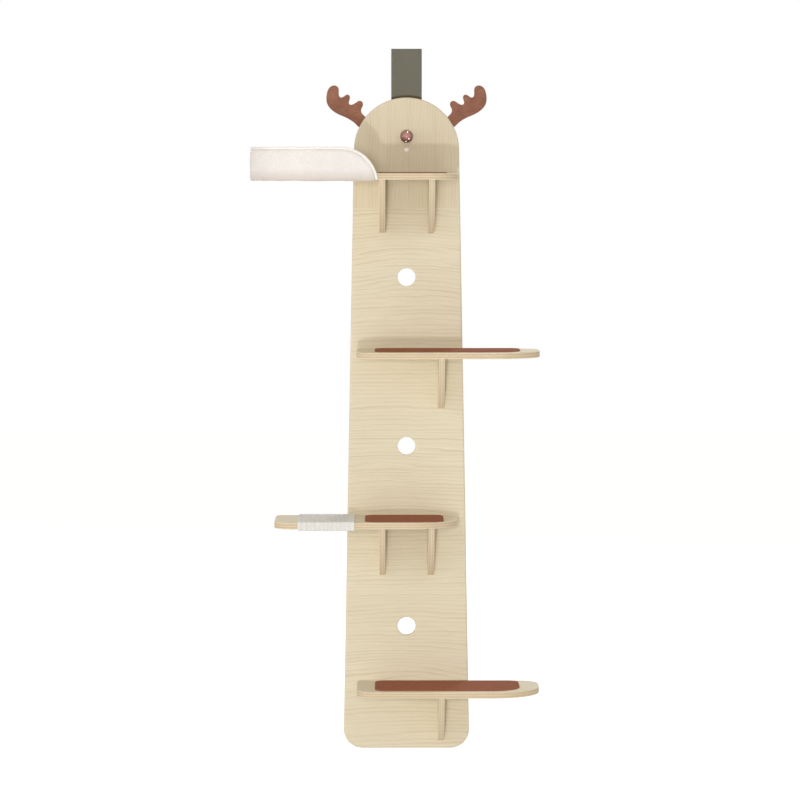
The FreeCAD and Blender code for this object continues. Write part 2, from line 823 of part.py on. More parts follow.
def end_run(radius):
    """How far a slope of this radius reaches past its centre at the nest's bottom."""
    return root(radius * radius - (end_height - nest_bottom) * (end_height - nest_bottom))


front_centre = front_end - end_run(rim_radius)
back_centre = back_end - end_run(rim_radius)


def nest_band(inner, outer):
    """U-shaped band seen from above, open to the right."""
    left = -dim("platform_left")
    front = -dim("platform_depth")
    corner = nest_corner
    return [
        (front_end, front - outer),
        (left + corner, front - outer),
        (left - outer, front + corner, corner + outer, -1),
        (left - outer, -corner),
        (left + corner, outer, corner + outer, -1),
        (back_end, outer),
        (back_end, inner),
        (left + corner, inner),
        (left - inner, -corner, corner + inner, 1),
        (left - inner, front + corner),
        (left + corner, front - inner, corner + inner, 1),
        (front_end, front - inner),
    ]


def slope_ends(body, name, radius, bottom):
    """Round off both arms of a band with an arc about their end centres."""
    middle = -dim("platform_depth") / 2
    top = end_height + radius
    above = top + plush
    for side, centre, end, forward in (("front", front_centre, front_end, -1),
                                       ("back", back_centre, back_end, 1)):
        past = end + plush
        foot = centre + end_run(radius)
        pocket(body, f"{name}_{side}", "Y", middle, dim("platform_depth"), forward, [
            (centre, top),
            (foot, nest_bottom, radius, -1),
            (foot, bottom - slack),
            (past, bottom - slack),
            (past, above),
            (centre, above),
        ])


def nest_body(label, keep=True):
    """A body in the platform's own frame."""
    return new_body(label, y=board_front, z=platform_top, keep=keep)


def make_nest_wall():
    """Bent plywood strip screwed round the platform's left end."""
    wall = nest_body("nest_wall")
    bottom = -dim("shelf_thick")
    pad(wall, "strip", "Z", bottom, end_height + wall_radius - bottom, 1,
        nest_band(ZERO, dim("nest_wall_thick")))
    slope_ends(wall, "slope", wall_radius, bottom)
    for name, axis, start, forward, centres in nest_screw_rows():
        drill(wall, f"{name}_holes", axis, start, dim("nest_wall_thick"), forward, centres,
              dim("nest_screw_dia") / 2 + dim("screw_slack"))
        drill(wall, f"{name}_seats", axis, start, dim("nest_screw_head_thick"), forward, centres,
              dim("nest_screw_head_dia") / 2 + dim("screw_slack"))


def nest_screw_rows():
    """Rows of screws round the platform's edge: name, axis, start, direction and 2D centres."""
    thick = dim("nest_wall_thick")
    height = -dim("shelf_thick") / 2
    front = -dim("platform_depth")
    left = -dim("platform_left")
    corner = left + nest_corner
    pitch = dim("nest_screw_pitch")
    return [
        ("front", "Y", front - thick, 1, [(corner, height), (corner + pitch, height)]),
        ("left", "X", left - thick, 1, [(front / 2, height)]),
        ("back", "Y", thick, -1, [(corner, height), (back_end - pitch / 4, height)]),
    ]


def drill_nest_pilots(platform):
    """Pilot holes in the platform's edge for the nest's screws."""
    deep = dim("nest_screw_length") - dim("nest_wall_thick") + dim("screw_slack")
    starts = {"front": -dim("platform_depth"), "left": -dim("platform_left"), "back": ZERO}
    for name, axis, _, forward, centres in nest_screw_rows():
        drill(platform, f"{name}_pilots", axis, starts[name], deep, forward, centres,
              dim("nest_screw_dia") / 2 + dim("screw_slack"))


def make_nest_screws():
    """Screws from outside through the nest wall into the platform's edge."""
    pattern = screw_pattern("nest_screw_pattern", dim("nest_screw_head_dia"),
                            dim("nest_screw_head_thick"), dim("nest_screw_dia"),
                            dim("nest_screw_length"))
    turns = {"front": 180, "left": 90, "back": 0}
    spots = []
    for name, axis, start, _, centres in nest_screw_rows():
        turn = FreeCAD.Rotation(FreeCAD.Vector(0, 0, 1), turns[name])
        for across, height in centres:
            x, y = (across, start) if axis == "Y" else (start, across)
            spots.append(((x, y + board_front, height + platform_top), turn))
    place_copies("nest_screws", pattern, spots)


def make_nest_cover():
    """Plush sleeve over the nest wall: outer skirt, rim and an inner fall that ends on the platform."""
    blank = nest_body("cover_blank", keep=False)
    rim = end_height + cover_radius
    band_start = dim("nest_wall_thick") + slack
    pad(blank, "skirt", "Z", nest_bottom, rim - nest_bottom, 1, nest_band(band_start, outer_face))
    pad(blank, "fall", "Z", slack, rim - slack, 1, nest_band(inner_face, band_start))
    slope_ends(blank, "slope", cover_radius, nest_bottom)
    hollow = nest_body("cover_hollow", keep=False)
    pad(hollow, "core", "Z", nest_bottom, end_height + cavity_radius - nest_bottom, 1,
        nest_band(-slack, band_start))
    slope_ends(hollow, "slope", cavity_radius, nest_bottom)
    cover = doc.addObject("Part::Cut", "nest_cover")
    cover.Label = "nest_cover"
    cover.Base = blank
    cover.Tool = hollow
    NODES.append(cover)


def make_piping():
    """Round piping along the cover's outer rim, down both sloping ends."""
    radius = rim_radius.value - piping_radius.value
    inset = outer_face.value - piping_radius.value
    left = -dim("platform_left").value
    depth = dim("platform_depth").value
    corner = nest_corner.value
    turn = corner + inset
    base_y = board_front.value
    base_z = platform_top.value
    centre_z = end_height.value
    top = centre_z + radius
    diagonal = math.sqrt(0.5)

    def point(x, y, z):
        return FreeCAD.Vector(x, y + base_y, z + base_z)

    def end_arc(centre, y):
        reach = math.atan2(centre_z - nest_bottom.value, float(end_run(rim_radius)))
        low = -reach + piping_radius.value / radius
        half = (math.pi / 2 + low) / 2
        spots = [point(centre + radius * math.cos(angle), y, centre_z + radius * math.sin(angle))
                 for angle in (low, half, math.pi / 2)]
        return Part.Arc(*spots).toShape()

    def plan_arc(centre_y, start, side):
        middle = point(left + corner - turn * diagonal, centre_y + side * turn * diagonal, top)
        beside = point(left - inset, centre_y, top)
        return Part.Arc(start, middle, beside).toShape()

    front_y = -depth - inset
    front_top = point(front_centre.value, front_y, top)
    front_bend = point(left + corner, front_y, top)
    left_front = point(left - inset, corner - depth, top)
    left_back = point(left - inset, -corner, top)
    back_bend = point(left + corner, inset, top)
    back_top = point(back_centre.value, inset, top)
    path = Part.Wire([
        end_arc(front_centre.value, front_y),
        Part.makeLine(front_top, front_bend),
        plan_arc(corner - depth, front_bend, -1),
        Part.makeLine(left_front, left_back),
        plan_arc(-corner, back_bend, 1),
        Part.makeLine(back_bend, back_top),
        end_arc(back_centre.value, inset),
    ])
    start = path.Edges[0].firstVertex().Point
    heading = path.Edges[0].tangentAt(path.Edges[0].FirstParameter)
    section = Part.Wire(Part.makeCircle(piping_radius.value, start, heading))
    part_node("nest_piping", path.makePipeShell([section], True, False))


def make_cushion():
    """Flat cushion on the nest's floor."""
    cushion = nest_body("nest_cushion")
    inset = -inner_face + dim("cushion_gap")
    corner = nest_corner - inset
    small = dim("mat_corner")
    pad(cushion, "filling", "Z", slack, dim("cushion_thick"), 1,
        rectangle(inset - dim("platform_left"), front_end - dim("cushion_end_back"), -inset,
                  inset - dim("platform_depth"), (corner, small, small, corner)))
    top = float(platform_top + slack + dim("cushion_thick"))
    ease(cushion, "crown", dim("cushion_round"), lambda box: box.ZMin > top - FLAT)


# ---------------------------------------------------------------- antlers

# Right antler's outline about its anchor on the head's rim, as shares of its width and rise.
ANTLER_OUTLINE = [
    (-0.30, -0.40), (-0.12, -0.30), (0.09, -0.15), (0.216, -0.03), (0.351, 0.066), (0.498, 0.14),
    (0.649, 0.205), (0.791, 0.288), (0.906, 0.393), (0.975, 0.515), (0.993, 0.64), (0.978, 0.79),
    (0.925, 0.925), (0.855, 0.988), (0.773, 1.008), (0.696, 0.985), (0.655, 0.92), (0.649, 0.83),
    (0.646, 0.745), (0.617, 0.688), (0.575, 0.674), (0.533, 0.690), (0.465, 0.738), (0.41, 0.755),
    (0.36, 0.736), (0.339, 0.68), (0.352, 0.607), (0.369, 0.54), (0.352, 0.49), (0.305, 0.475),
    (0.231, 0.498), (0.163, 0.542), (0.091, 0.581), (0.038, 0.578), (-0.008, 0.543), (-0.024, 0.485),
    (-0.003, 0.413), (0.028, 0.337), (0.018, 0.262), (-0.034, 0.192), (-0.12, 0.113), (-0.28, -0.04),
    (-0.42, -0.20), (-0.42, -0.36),
]
# The two screws of an antler's root, as shares of the same width and rise.
ANTLER_SCREWS = [(-0.14, -0.10), (-0.30, -0.27)]
antler_screw_bite = dim("antler_screw_length") - dim("screw_head_thick") - dim("antler_thick")


def on_antler(share, side):
    """Place of an outline share on one antler, as (x, z); side is 1 on the right and -1 on the left."""
    angle = math.radians(sheet.get("antler_angle"))
    x = dim("head_radius") * math.cos(angle) + dim("antler_width") * share[0]
    z = dim("head_straight") + dim("head_radius") * math.sin(angle) + dim("antler_rise") * share[1]
    return x * side, z


def antler_screw_places():
    """Centres of all antler screws, as (x, z)."""
    return [on_antler(share, side) for side in (-1, 1) for share in ANTLER_SCREWS]


def make_antler(label, side):
    """Flat antler behind the head board."""
    back = board_back.value
    thick = dim("antler_thick").value
    points = [on_antler(share, side) for share in ANTLER_OUTLINE]
    curve = Part.BSplineCurve()
    curve.interpolate([FreeCAD.Vector(float(x), back, float(z)) for x, z in points],
                      PeriodicFlag=True)
    solid = Part.Face(Part.Wire(curve.toShape())).extrude(FreeCAD.Vector(0, thick, 0))
    radius = (dim("screw_dia") / 2 + dim("screw_slack")).value
    for share in ANTLER_SCREWS:
        x, z = on_antler(share, side)
        hole = Part.makeCylinder(radius, thick, FreeCAD.Vector(float(x), back, float(z)),
                                 FreeCAD.Vector(0, 1, 0))
        solid = solid.cut(hole)
    part_node(label, solid)


def make_antlers():
    """Both antlers and the screws that hold them to the head board."""
    make_antler("antler_left", -1)
    make_antler("antler_right", 1)
    pattern = screw_pattern("antler_screw_pattern", dim("screw_head_dia"), dim("screw_head_thick"),
                            dim("screw_dia"), dim("antler_screw_length"))
    head_face = board_back + dim("antler_thick") + dim("screw_head_thick")
    place_copies("antler_screws", pattern, at(antler_screw_places(), head_face))


# ---------------------------------------------------------------- hanging strap and its clamp

strap_thick = dim("strap_thick")
front_layer = board_back + strap_thick / 2
back_layer = front_layer + dim("loop_gap") + strap_thick
clamped_layer = front_layer + strap_thick + dim("strap_slack")
clamp_front = clamped_layer + strap_thick / 2
clamp_head_face = clamp_front + dim("clamp_thick") + dim("screw_head_thick")
clamp_screw_bite = board_back - (clamp_head_face - dim("clamp_screw_length"))
clamp_low = dim("strap_foot") + dim("clamp_margin")


def clamp_screw_places():
    """The four corner screws of the strap clamp, as (x, z)."""
    low = clamp_low + dim("clamp_screw_in")
    high = clamp_low + dim("clamp_height") - dim("clamp_screw_in")
    return [(dim("clamp_screw_x") * side, height) for side in (-1, 1) for height in (low, high)]


def drill_clamp_holes(body, name, start, length):
    """Holes for the clamp's four screws and the nose's screw."""
    places = clamp_screw_places() + [(ZERO, dim("nose_height"))]
    drill(body, name, "Y", start, length, -1, places, dim("screw_dia") / 2 + dim("screw_slack"))


def make_strap():
    """Wide webbing: up behind the head, over in a flat loop and back down to the same clamp."""
    strap = new_body("hanging_strap")
    bend = (back_layer - front_layer) / 2
    spring = head_top + dim("strap_rise") - strap_thick / 2 - bend
    shift = back_layer - clamped_layer
    drop = root(dim("strap_turn") * shift - shift * shift / 4)
    step = dim("strap_step")
    path = new_sketch(strap, "path", "X", ZERO)
    draw(path, [
        (front_layer, dim("strap_foot")),
        (front_layer, spring),
        (front_layer + bend, spring + bend, bend, -1),
        (back_layer, spring, bend, -1),
        (back_layer, step),
        (back_layer - shift / 2, step - drop, dim("strap_turn"), -1),
        (clamped_layer, step - drop - drop, dim("strap_turn"), 1),
        (clamped_layer, dim("strap_foot")),
    ], closed=False)
    section = new_sketch(strap, "section", "Z", dim("strap_foot"))
    half = dim("strap_width") / 2
    draw(section, [
        (-half, front_layer - strap_thick / 2),
        (half, front_layer - strap_thick / 2),
        (half, front_layer + strap_thick / 2),
        (-half, front_layer + strap_thick / 2),
    ])
    doc.recompute()
    webbing = strap.newObject("PartDesign::AdditivePipe", "webbing")
    webbing.Profile = section
    webbing.Spine = (path, [f"Edge{number}" for number in range(1, path.GeometryCount + 1)])
    drill_clamp_holes(strap, "screw_holes", clamp_front, clamp_front - board_back)


def make_clamp():
    """Steel plate that clamps both ends of the strap, with its screws."""
    clamp = new_body("strap_clamp")
    half = dim("clamp_width") / 2
    back = clamp_front + dim("clamp_thick")
    corners = [dim("clamp_corner")] * 4
    pad(clamp, "plate", "Y", back, dim("clamp_thick"), -1,
        rectangle(-half, half, clamp_low + dim("clamp_height"), clamp_low, corners))
    drill_clamp_holes(clamp, "screw_holes", back, dim("clamp_thick"))
    pattern = screw_pattern("clamp_screw_pattern", dim("screw_head_dia"), dim("screw_head_thick"),
                            dim("screw_dia"), dim("clamp_screw_length"))
    place_copies("clamp_screws", pattern, at(clamp_screw_places(), clamp_head_face))


# ---------------------------------------------------------------- nose and wall screw cap

def make_nose():
    """Ball nose with a flat seat, and the screw that holds it through the strap clamp."""
    nose = new_body("nose_knob", y=board_front, z=dim("nose_height"))
    ball = dim("nose_dia") / 2
    seat = dim("nose_seat_dia") / 2
    hole = dim("screw_dia") / 2 + dim("screw_slack")
    revolve(nose, "ball", [
        (hole, ZERO),
        (seat, ZERO),
        (ZERO, -ball - root(ball * ball - seat * seat), ball, -1),
        (ZERO, -dim("nose_pilot")),
        (hole, -dim("nose_pilot")),
    ])
    length = clamp_head_face - board_front + dim("nose_pilot") - dim("screw_slack")
    pattern = screw_pattern("nose_screw_pattern", dim("screw_head_dia"), dim("screw_head_thick"),
                            dim("screw_dia"), length)
    place_copies("nose_screw", pattern, at([(ZERO, dim("nose_height"))], clamp_head_face))


def make_cap():
    """Domed cap over the wall screw's hole."""
    cap = new_body("screw_cap", y=board_front, z=dim("wall_hole_height"))
    edge = dim("cap_dia") / 2
    dome = dim("cap_dome")
    plug = dim("cap_plug_dia") / 2
    revolve(cap, "turned", [
        (ZERO, -dome),
        (edge, ZERO, (edge * edge + dome * dome) / (dome * 2), 1),
        (plug, ZERO),
        (plug, dim("cap_plug_length")),
        (ZERO, dim("cap_plug_length")),
    ])


# ---------------------------------------------------------------- build and write

def check_document():
    """Stop on any object that failed to compute and on any node without a sound solid."""
    for thing in doc.Objects:
        if "Invalid" in thing.State or "Error" in thing.State:
            raise RuntimeError(f"{thing.Label} did not compute: {thing.State}")
    for node in NODES:
        if node.Shape.isNull() or not node.Shape.isValid() or not node.Shape.Solids:
            raise RuntimeError(f"{node.Label} has no sound shape")


def write_nodes():
    """Write each node to its own STEP file."""
    os.makedirs("parts", exist_ok=True)
    for node in NODES:
        node.Shape.exportStep(f"parts/{node.Label}.step")
        print(f"{node.Label}: {len(node.Shape.Solids)} solid(s), {node.Shape.Volume / 1000:.1f} cm3")


make_head_board()
make_body_board()
make_splice_plate()
make_pads()
make_steps()
make_wrap()
make_brackets()
make_connectors()
make_top_screws()
make_mats()
make_nest_wall()
make_nest_cover()
make_nest_screws()
make_piping()
make_cushion()
make_antlers()
make_strap()
make_clamp()
make_nose()
make_cap()
doc.recompute()
check_document()
write_nodes()
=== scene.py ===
"""Looks of the wall mounted cat tree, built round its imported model.

Metres, in the model's frame: +Z up, the wall is y = 0 and the steps reach towards -Y.
"""

import math
import random

import bmesh
import bpy
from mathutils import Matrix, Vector, noise


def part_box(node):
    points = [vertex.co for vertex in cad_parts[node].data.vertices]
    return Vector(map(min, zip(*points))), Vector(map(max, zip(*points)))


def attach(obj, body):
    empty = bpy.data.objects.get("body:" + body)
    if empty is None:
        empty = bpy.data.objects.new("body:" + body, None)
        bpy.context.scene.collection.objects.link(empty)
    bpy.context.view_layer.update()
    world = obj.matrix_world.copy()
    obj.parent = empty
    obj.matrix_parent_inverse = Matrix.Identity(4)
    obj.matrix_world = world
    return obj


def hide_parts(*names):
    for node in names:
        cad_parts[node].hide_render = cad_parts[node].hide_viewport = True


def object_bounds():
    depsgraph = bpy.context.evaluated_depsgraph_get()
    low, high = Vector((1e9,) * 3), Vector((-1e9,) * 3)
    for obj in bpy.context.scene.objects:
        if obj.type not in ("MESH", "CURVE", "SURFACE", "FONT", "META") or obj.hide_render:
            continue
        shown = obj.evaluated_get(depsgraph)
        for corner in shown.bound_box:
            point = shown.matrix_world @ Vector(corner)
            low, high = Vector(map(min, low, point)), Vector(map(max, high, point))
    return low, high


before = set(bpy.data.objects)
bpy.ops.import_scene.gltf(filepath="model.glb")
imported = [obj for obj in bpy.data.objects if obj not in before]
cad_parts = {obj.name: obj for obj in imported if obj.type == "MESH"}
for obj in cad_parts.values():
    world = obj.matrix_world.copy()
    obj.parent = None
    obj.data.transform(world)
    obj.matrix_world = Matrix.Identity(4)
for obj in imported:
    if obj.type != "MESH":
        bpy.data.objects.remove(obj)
CAD_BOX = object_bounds()
MM = 0.001


# ---------------------------------------------------------------- materials

def srgb(red, green, blue):
    """A screen colour, 0 to 255, as the linear colour that shaders take."""
    def linear(part):
        """One channel, 0 to 255, as linear light."""
        part /= 255
        return part / 12.92 if part <= 0.04045 else ((part + 0.055) / 1.055) ** 2.4
    return (linear(red), linear(green), linear(blue), 1.0)


class Surface:
    """A material under construction: a Principled shader and the nodes that feed it.

    Keyword arguments are the shader's sockets that are the same all over, with _ for each space.
    """

    def __init__(self, name, **constants):
        self.material = bpy.data.materials.new(name)
        self.material.use_nodes = True
        self.tree = self.material.node_tree
        self.shader = self.tree.nodes["Principled BSDF"]
        for socket, value in constants.items():
            self.shader.inputs[socket.replace("_", " ")].default_value = value
        self.place = self.tree.nodes.new("ShaderNodeTexCoord").outputs["Object"]
        self.x, self.y, self.z = self.node("ShaderNodeSeparateXYZ", {"Vector": self.place}).outputs

    def feed(self, socket, value):
        """Link a socket or set its constant."""
        if isinstance(value, bpy.types.NodeSocket):
            self.tree.links.new(value, socket)
        else:
            socket.default_value = value

    def node(self, kind, inputs=None, **settings):
        """A new node with its settings and inputs."""
        node = self.tree.nodes.new(kind)
        for key, value in settings.items():
            setattr(node, key, value)
        for key, value in (inputs or {}).items():
            self.feed(node.inputs[key], value)
        return node

    def calc(self, operation, first, second=0.0, third=0.0):
        """One step of arithmetic."""
        inputs = {0: first, 1: second, 2: third}
        return self.node("ShaderNodeMath", inputs, operation=operation).outputs[0]

    def radius(self, x, z):
        """Distance from the axis that runs along Y through x and z."""
        aside, above = self.calc("SUBTRACT", self.x, x), self.calc("SUBTRACT", self.z, z)
        square = self.calc("MULTIPLY_ADD", aside, aside, self.calc("MULTIPLY", above, above))
        return self.calc("SQRT", square)

    def vector(self, x, y, z=0.0):
        """Three numbers as one vector."""
        return self.node("ShaderNodeCombineXYZ", {0: x, 1: y, 2: z}).outputs[0]

    def noise(self, vector, scale, detail=2.0, roughness=0.5, distortion=0.0):
        """Smooth noise from 0 to 1."""
        inputs = {"Vector": vector, "Scale": scale, "Detail": detail, "Roughness": roughness,
                  "Distortion": distortion}
        return self.node("ShaderNodeTexNoise", inputs).outputs["Fac"]

    def cells(self, vector, scale):
        """Distance to the middle of the nearest Voronoi cell."""
        return self.node("ShaderNodeTexVoronoi", {"Vector": vector, "Scale": scale}).outputs["Distance"]

    def span(self, value, low, high, to_low=0.0, to_high=1.0):
        """Map one range to another and hold the ends."""
        inputs = {"Value": value, "From Min": low, "From Max": high, "To Min": to_low, "To Max": to_high}
        return self.node("ShaderNodeMapRange", inputs).outputs["Result"]

    def blend(self, factor, first, second):
        """Mix two colours."""
        node = self.node("ShaderNodeMix", data_type="RGBA")
        for socket, value in zip((node.inputs[0], node.inputs[6], node.inputs[7]),
                                 (factor, first, second)):
            self.feed(socket, value)
        return node.outputs[2]

    def colour(self, value):
        """Set the base colour."""
        self.feed(self.shader.inputs["Base Color"], value)

    def relief(self, height, distance, strength):
        """Bump from a height of 0 to 1 that stands for `distance`."""
        inputs = {"Height": height, "Distance": distance, "Strength": strength}
        previous = self.shader.inputs["Normal"]
        if previous.is_linked:
            inputs["Normal"] = previous.links[0].from_socket
        self.feed(previous, self.node("ShaderNodeBump", inputs).outputs["Normal"])

    def rough(self, value):
        """Feed the roughness."""
        self.feed(self.shader.inputs["Roughness"], value)


PLY_EDGE = ((226, 210, 183), (203, 177, 139))        # screen colours: along the grain, end grain
# Ply edge painted lighter for the brackets: painted light against the shade on their downward sloping
# fronts.
BRACKET_EDGE_PAINTED_LIGHT = ((240, 224, 198), (220, 196, 160))
PORE_TONE = srgb(170, 138, 98)
GLUE_LINE = srgb(168, 134, 92)
PLY_COUNT = 5
FACE_SHARE = 0.7             # share of the outer layer that keeps the face's tone
FINE_RINGS = 2.37            # thin rings to each strong one
ARCH_TURN = 10.0             # radians per metre along the grain


def plywood(name, grain, normal, face, thick, seed, light=(233, 223, 197), dark=(192, 174, 140),
            ring=10 * MM, wave=0.6, edges=PLY_EDGE, arch=0.0):
    """Pale plywood: growth rings along `grain` on the faces and crossed layers in the edges.

    `normal` is the axis across the layers, which start at `face` and are `thick` in all; `ring` is
    the spacing of the rings, `wave` how far they wander and `arch` how far they bow.
    """
    s = Surface(name, Specular_IOR_Level=0.12)
    axes = {"X": s.x, "Y": s.y, "Z": s.z}
    across = next(axis for axis in "ZXY" if axis not in (grain, normal))
    u, v, w = axes[grain], axes[across], axes[normal]

    def along(run, side, step, detail=2.0, roughness=0.5):
        """Noise with its own scales along and across the grain."""
        stretched = s.vector(s.calc("MULTIPLY", u, run), s.calc("MULTIPLY", v, side), seed + step)
        return s.noise(stretched, 1.0, detail, roughness)

    drift = s.calc("MULTIPLY", along(1.7, 4.5, 0.0, 3.0, 0.4), 7.0 * wave)
    ripple = s.calc("MULTIPLY", along(9.0, 16.0, 3.0, 3.0, 0.55), 1.9 * wave)
    spread = s.calc("MULTIPLY", along(0.2, 26.0, 5.0, 1.0), 2.4)
    phase = s.calc("ADD", s.calc("MULTIPLY_ADD", v, 1.0 / ring, drift), s.calc("ADD", ripple, spread))
    if arch:
        bow = s.calc("MULTIPLY", s.calc("COSINE", s.calc("MULTIPLY", u, ARCH_TURN)), -arch)
        phase = s.calc("MULTIPLY_ADD", bow, s.span(along(0.5, 4.0, 23.0, 1.0), 0.45, 0.65), phase)

    def latewood(rings):
        """Slow rise and sharp end of each ring's dark wood."""
        wedge = s.calc("FRACT", rings)
        return s.calc("MULTIPLY", s.calc("POWER", wedge, 4.0), s.span(wedge, 0.93, 1.0, 1.0, 0.0))

    late = s.calc("MAXIMUM", latewood(phase),
                  s.calc("MULTIPLY", latewood(s.calc("MULTIPLY", phase, FINE_RINGS)), 0.6))
    strength = s.span(along(3.0, 55.0, 7.0), 0.3, 0.7, 0.15, 1.0)
    fibre = along(16.0, 700.0, 9.0, 3.0, 0.6)
    pores = along(90.0, 1600.0, 11.0, 1.0)
    patch = along(2.2, 6.0, 17.0)
    pale, deep = srgb(*light), srgb(*dark)
    tone = s.blend(s.span(patch, 0.3, 0.7, 0.0, 0.16), pale, deep)
    tone = s.blend(s.calc("MULTIPLY", s.calc("MULTIPLY", late, strength), 0.85), tone, deep)
    tone = s.blend(s.span(fibre, 0.4, 0.8, 0.0, 0.3), tone, deep)
    tone = s.blend(s.span(pores, 0.64, 0.74, 0.0, 0.2), tone, PORE_TONE)

    depth = s.calc("MULTIPLY", s.calc("ABSOLUTE", s.calc("SUBTRACT", w, face)), PLY_COUNT / thick)
    crossed = s.calc("GREATER_THAN", s.calc("MODULO", depth, 2.0), 1.0)
    ends = s.noise(s.place, 900.0)
    plain, end_grain = (srgb(*tone) for tone in edges)
    side = s.blend(s.span(ends, 0.3, 0.7, 0.0, 0.5), plain, end_grain)
    cross_tone = s.blend(s.span(ends, 0.3, 0.7, 0.5, 1.0), plain, end_grain)
    edge = s.blend(crossed, side, cross_tone)
    inside = s.calc("MULTIPLY", s.calc("GREATER_THAN", depth, FACE_SHARE),
                    s.calc("LESS_THAN", depth, PLY_COUNT - FACE_SHARE))
    tone = s.blend(inside, tone, edge)
    layer = s.calc("FRACT", s.calc("ADD", depth, 0.5))
    line = s.span(s.calc("ABSOLUTE", s.calc("SUBTRACT", layer, 0.5)), 0.03, 0.1, 1.0, 0.0)
    glue = s.calc("MULTIPLY", line, inside)
    s.colour(s.blend(s.calc("MULTIPLY", glue, 0.5), tone, GLUE_LINE))
    s.rough(s.span(fibre, 0.2, 0.9, 0.45, 0.6))
    s.relief(fibre, 0.00015, 0.4)
    s.relief(late, 0.0001, 0.35)
    return s.material


def felt(name, base, dark, light, grain=700.0):
    """Needle felt: matted short fibres in slightly different tones."""
    s = Surface(name, Specular_IOR_Level=0.08)
    clumps = s.noise(s.place, grain * 0.25, 4.0, 0.65)
    threads = s.noise(s.place, grain, 3.0, 0.7, 1.2)
    tone = s.blend(s.span(clumps, 0.3, 0.7), dark, base)
    tone = s.blend(s.span(threads, 0.45, 0.8, 0.0, 0.6), tone, light)
    s.colour(tone)
    s.rough(s.span(threads, 0.2, 0.8, 0.85, 0.98))
    s.relief(threads, 0.0006, 0.8)
    s.relief(clumps, 0.0012, 0.5)
    return s.material


def plush(name, light, shade, foot=None, shade_height=0.0):
    """Short pile plush: tufts that part into soft streaks, and painted shade that is darker near `foot`
    and fades upwards.
    """
    s = Surface(name, Sheen_Weight=0.5, Sheen_Roughness=0.5, Specular_IOR_Level=0.1, Roughness=0.95)
    swirl = s.noise(s.place, 24.0, 3.0, 0.6, 0.6)
    tufts = s.noise(s.place, 260.0, 4.0, 0.7, 1.5)
    hairs = s.noise(s.place, 1500.0, 2.0, 0.6)
    tone = s.blend(s.span(tufts, 0.3, 0.62), shade, light)
    tone = s.blend(s.span(swirl, 0.35, 0.75, 0.0, 0.35), tone, shade)
    if foot is not None:
        # Painted shade: darker towards the sleeve's lower edge, fading out above `foot`.
        tone = s.blend(s.span(s.z, foot, foot + shade_height, 0.8, 0.0), tone, PLUSH_PAINTED_SHADE)
    s.colour(tone)
    s.relief(swirl, 0.003, 0.4)
    s.relief(tufts, 0.0016, 0.7)
    s.relief(hairs, 0.0004, 0.6)
    return s.material


def spun(name, light, shade, twist, pitch):
    """Cord spun from strands that wind round it. Its UV map runs along it in u and round it in v."""
    s = Surface(name, Sheen_Weight=0.5, Sheen_Roughness=0.5, Specular_IOR_Level=0.15, Roughness=0.9)
    uv = s.node("ShaderNodeSeparateXYZ", {"Vector": s.node("ShaderNodeTexCoord").outputs["UV"]})
    turns = s.calc("MULTIPLY_ADD", uv.outputs[0], 1.0 / pitch, s.calc("MULTIPLY", uv.outputs[1], twist))
    strand = s.calc("ABSOLUTE", s.calc("SINE", s.calc("MULTIPLY", turns, math.pi)))
    fuzz = s.noise(s.place, 2200.0, 3.0, 0.65)
    tone = s.blend(s.span(strand, 0.0, 0.75), shade, light)
    s.colour(s.blend(s.span(fuzz, 0.5, 0.8, 0.0, 0.35), tone, shade))
    s.relief(strand, 0.0004, 0.8)
    s.relief(fuzz, 0.0002, 0.6)
    return s.material


def webbing(name, light, shade, rib, centre, radius, shadow_half):
    """Woven webbing: ribs crossed by the weft, and a painted shadow in a dark band along the head's
    round edge.

    The edge has this `radius` about the height `centre`; `shadow_half` is half the band's width.
    """
    s = Surface(name, Sheen_Weight=0.12, Sheen_Roughness=0.45, Specular_IOR_Level=0.25)
    uv = s.node("ShaderNodeSeparateXYZ", {"Vector": s.node("ShaderNodeTexCoord").outputs["UV"]})
    along, aside = uv.outputs[0], uv.outputs[1]
    column = s.calc("DIVIDE", aside, rib)
    shift = s.calc("MULTIPLY", s.calc("FLOOR", column), 0.5)
    ribs = s.calc("ABSOLUTE", s.calc("SINE", s.calc("MULTIPLY", column, math.pi)))
    weft = s.calc("ADD", s.calc("DIVIDE", along, rib * 0.9), shift)
    picks = s.calc("ABSOLUTE", s.calc("SINE", s.calc("MULTIPLY", weft, math.pi)))
    knit = s.calc("MULTIPLY", ribs, s.calc("MULTIPLY_ADD", picks, 0.5, 0.5))
    fuzz = s.noise(s.place, 1800.0, 3.0, 0.6)
    tone = s.blend(s.span(knit, 0.05, 0.6), shade, light)
    tone = s.blend(s.span(fuzz, 0.5, 0.85, 0.0, 0.4), tone, shade)
    # Painted shadow of the head board's top edge: a dark band on the strap round the edge.
    away = s.radius(0.0, centre)
    painted_shadow = s.calc("MULTIPLY", s.span(away, radius - shadow_half, radius, 0.0, 0.85),
                  s.span(away, radius + 0.5 * shadow_half, radius + shadow_half, 1.0, 0.0))
    s.colour(s.blend(painted_shadow, tone, STRAP_SHADOW_TONE))
    s.rough(s.span(fuzz, 0.2, 0.8, 0.7, 0.88))
    s.relief(knit, 0.0005, 0.8)
    return s.material


def zinc(name):
    """Zinc plated steel with fine turning marks and faint blooms."""
    s = Surface(name, Metallic=1.0)
    bloom = s.noise(s.place, 160.0, 3.0, 0.6)
    turned = s.vector(s.calc("MULTIPLY", s.x, 300.0), s.calc("MULTIPLY", s.z, 4000.0), s.y)
    scratch = s.noise(turned, 1.0)
    s.colour(s.blend(s.span(bloom, 0.3, 0.7), srgb(198, 198, 194), srgb(216, 216, 214)))
    s.rough(s.span(scratch, 0.3, 0.7, 0.28, 0.44))
    s.relief(scratch, 0.00003, 0.4)
    return s.material


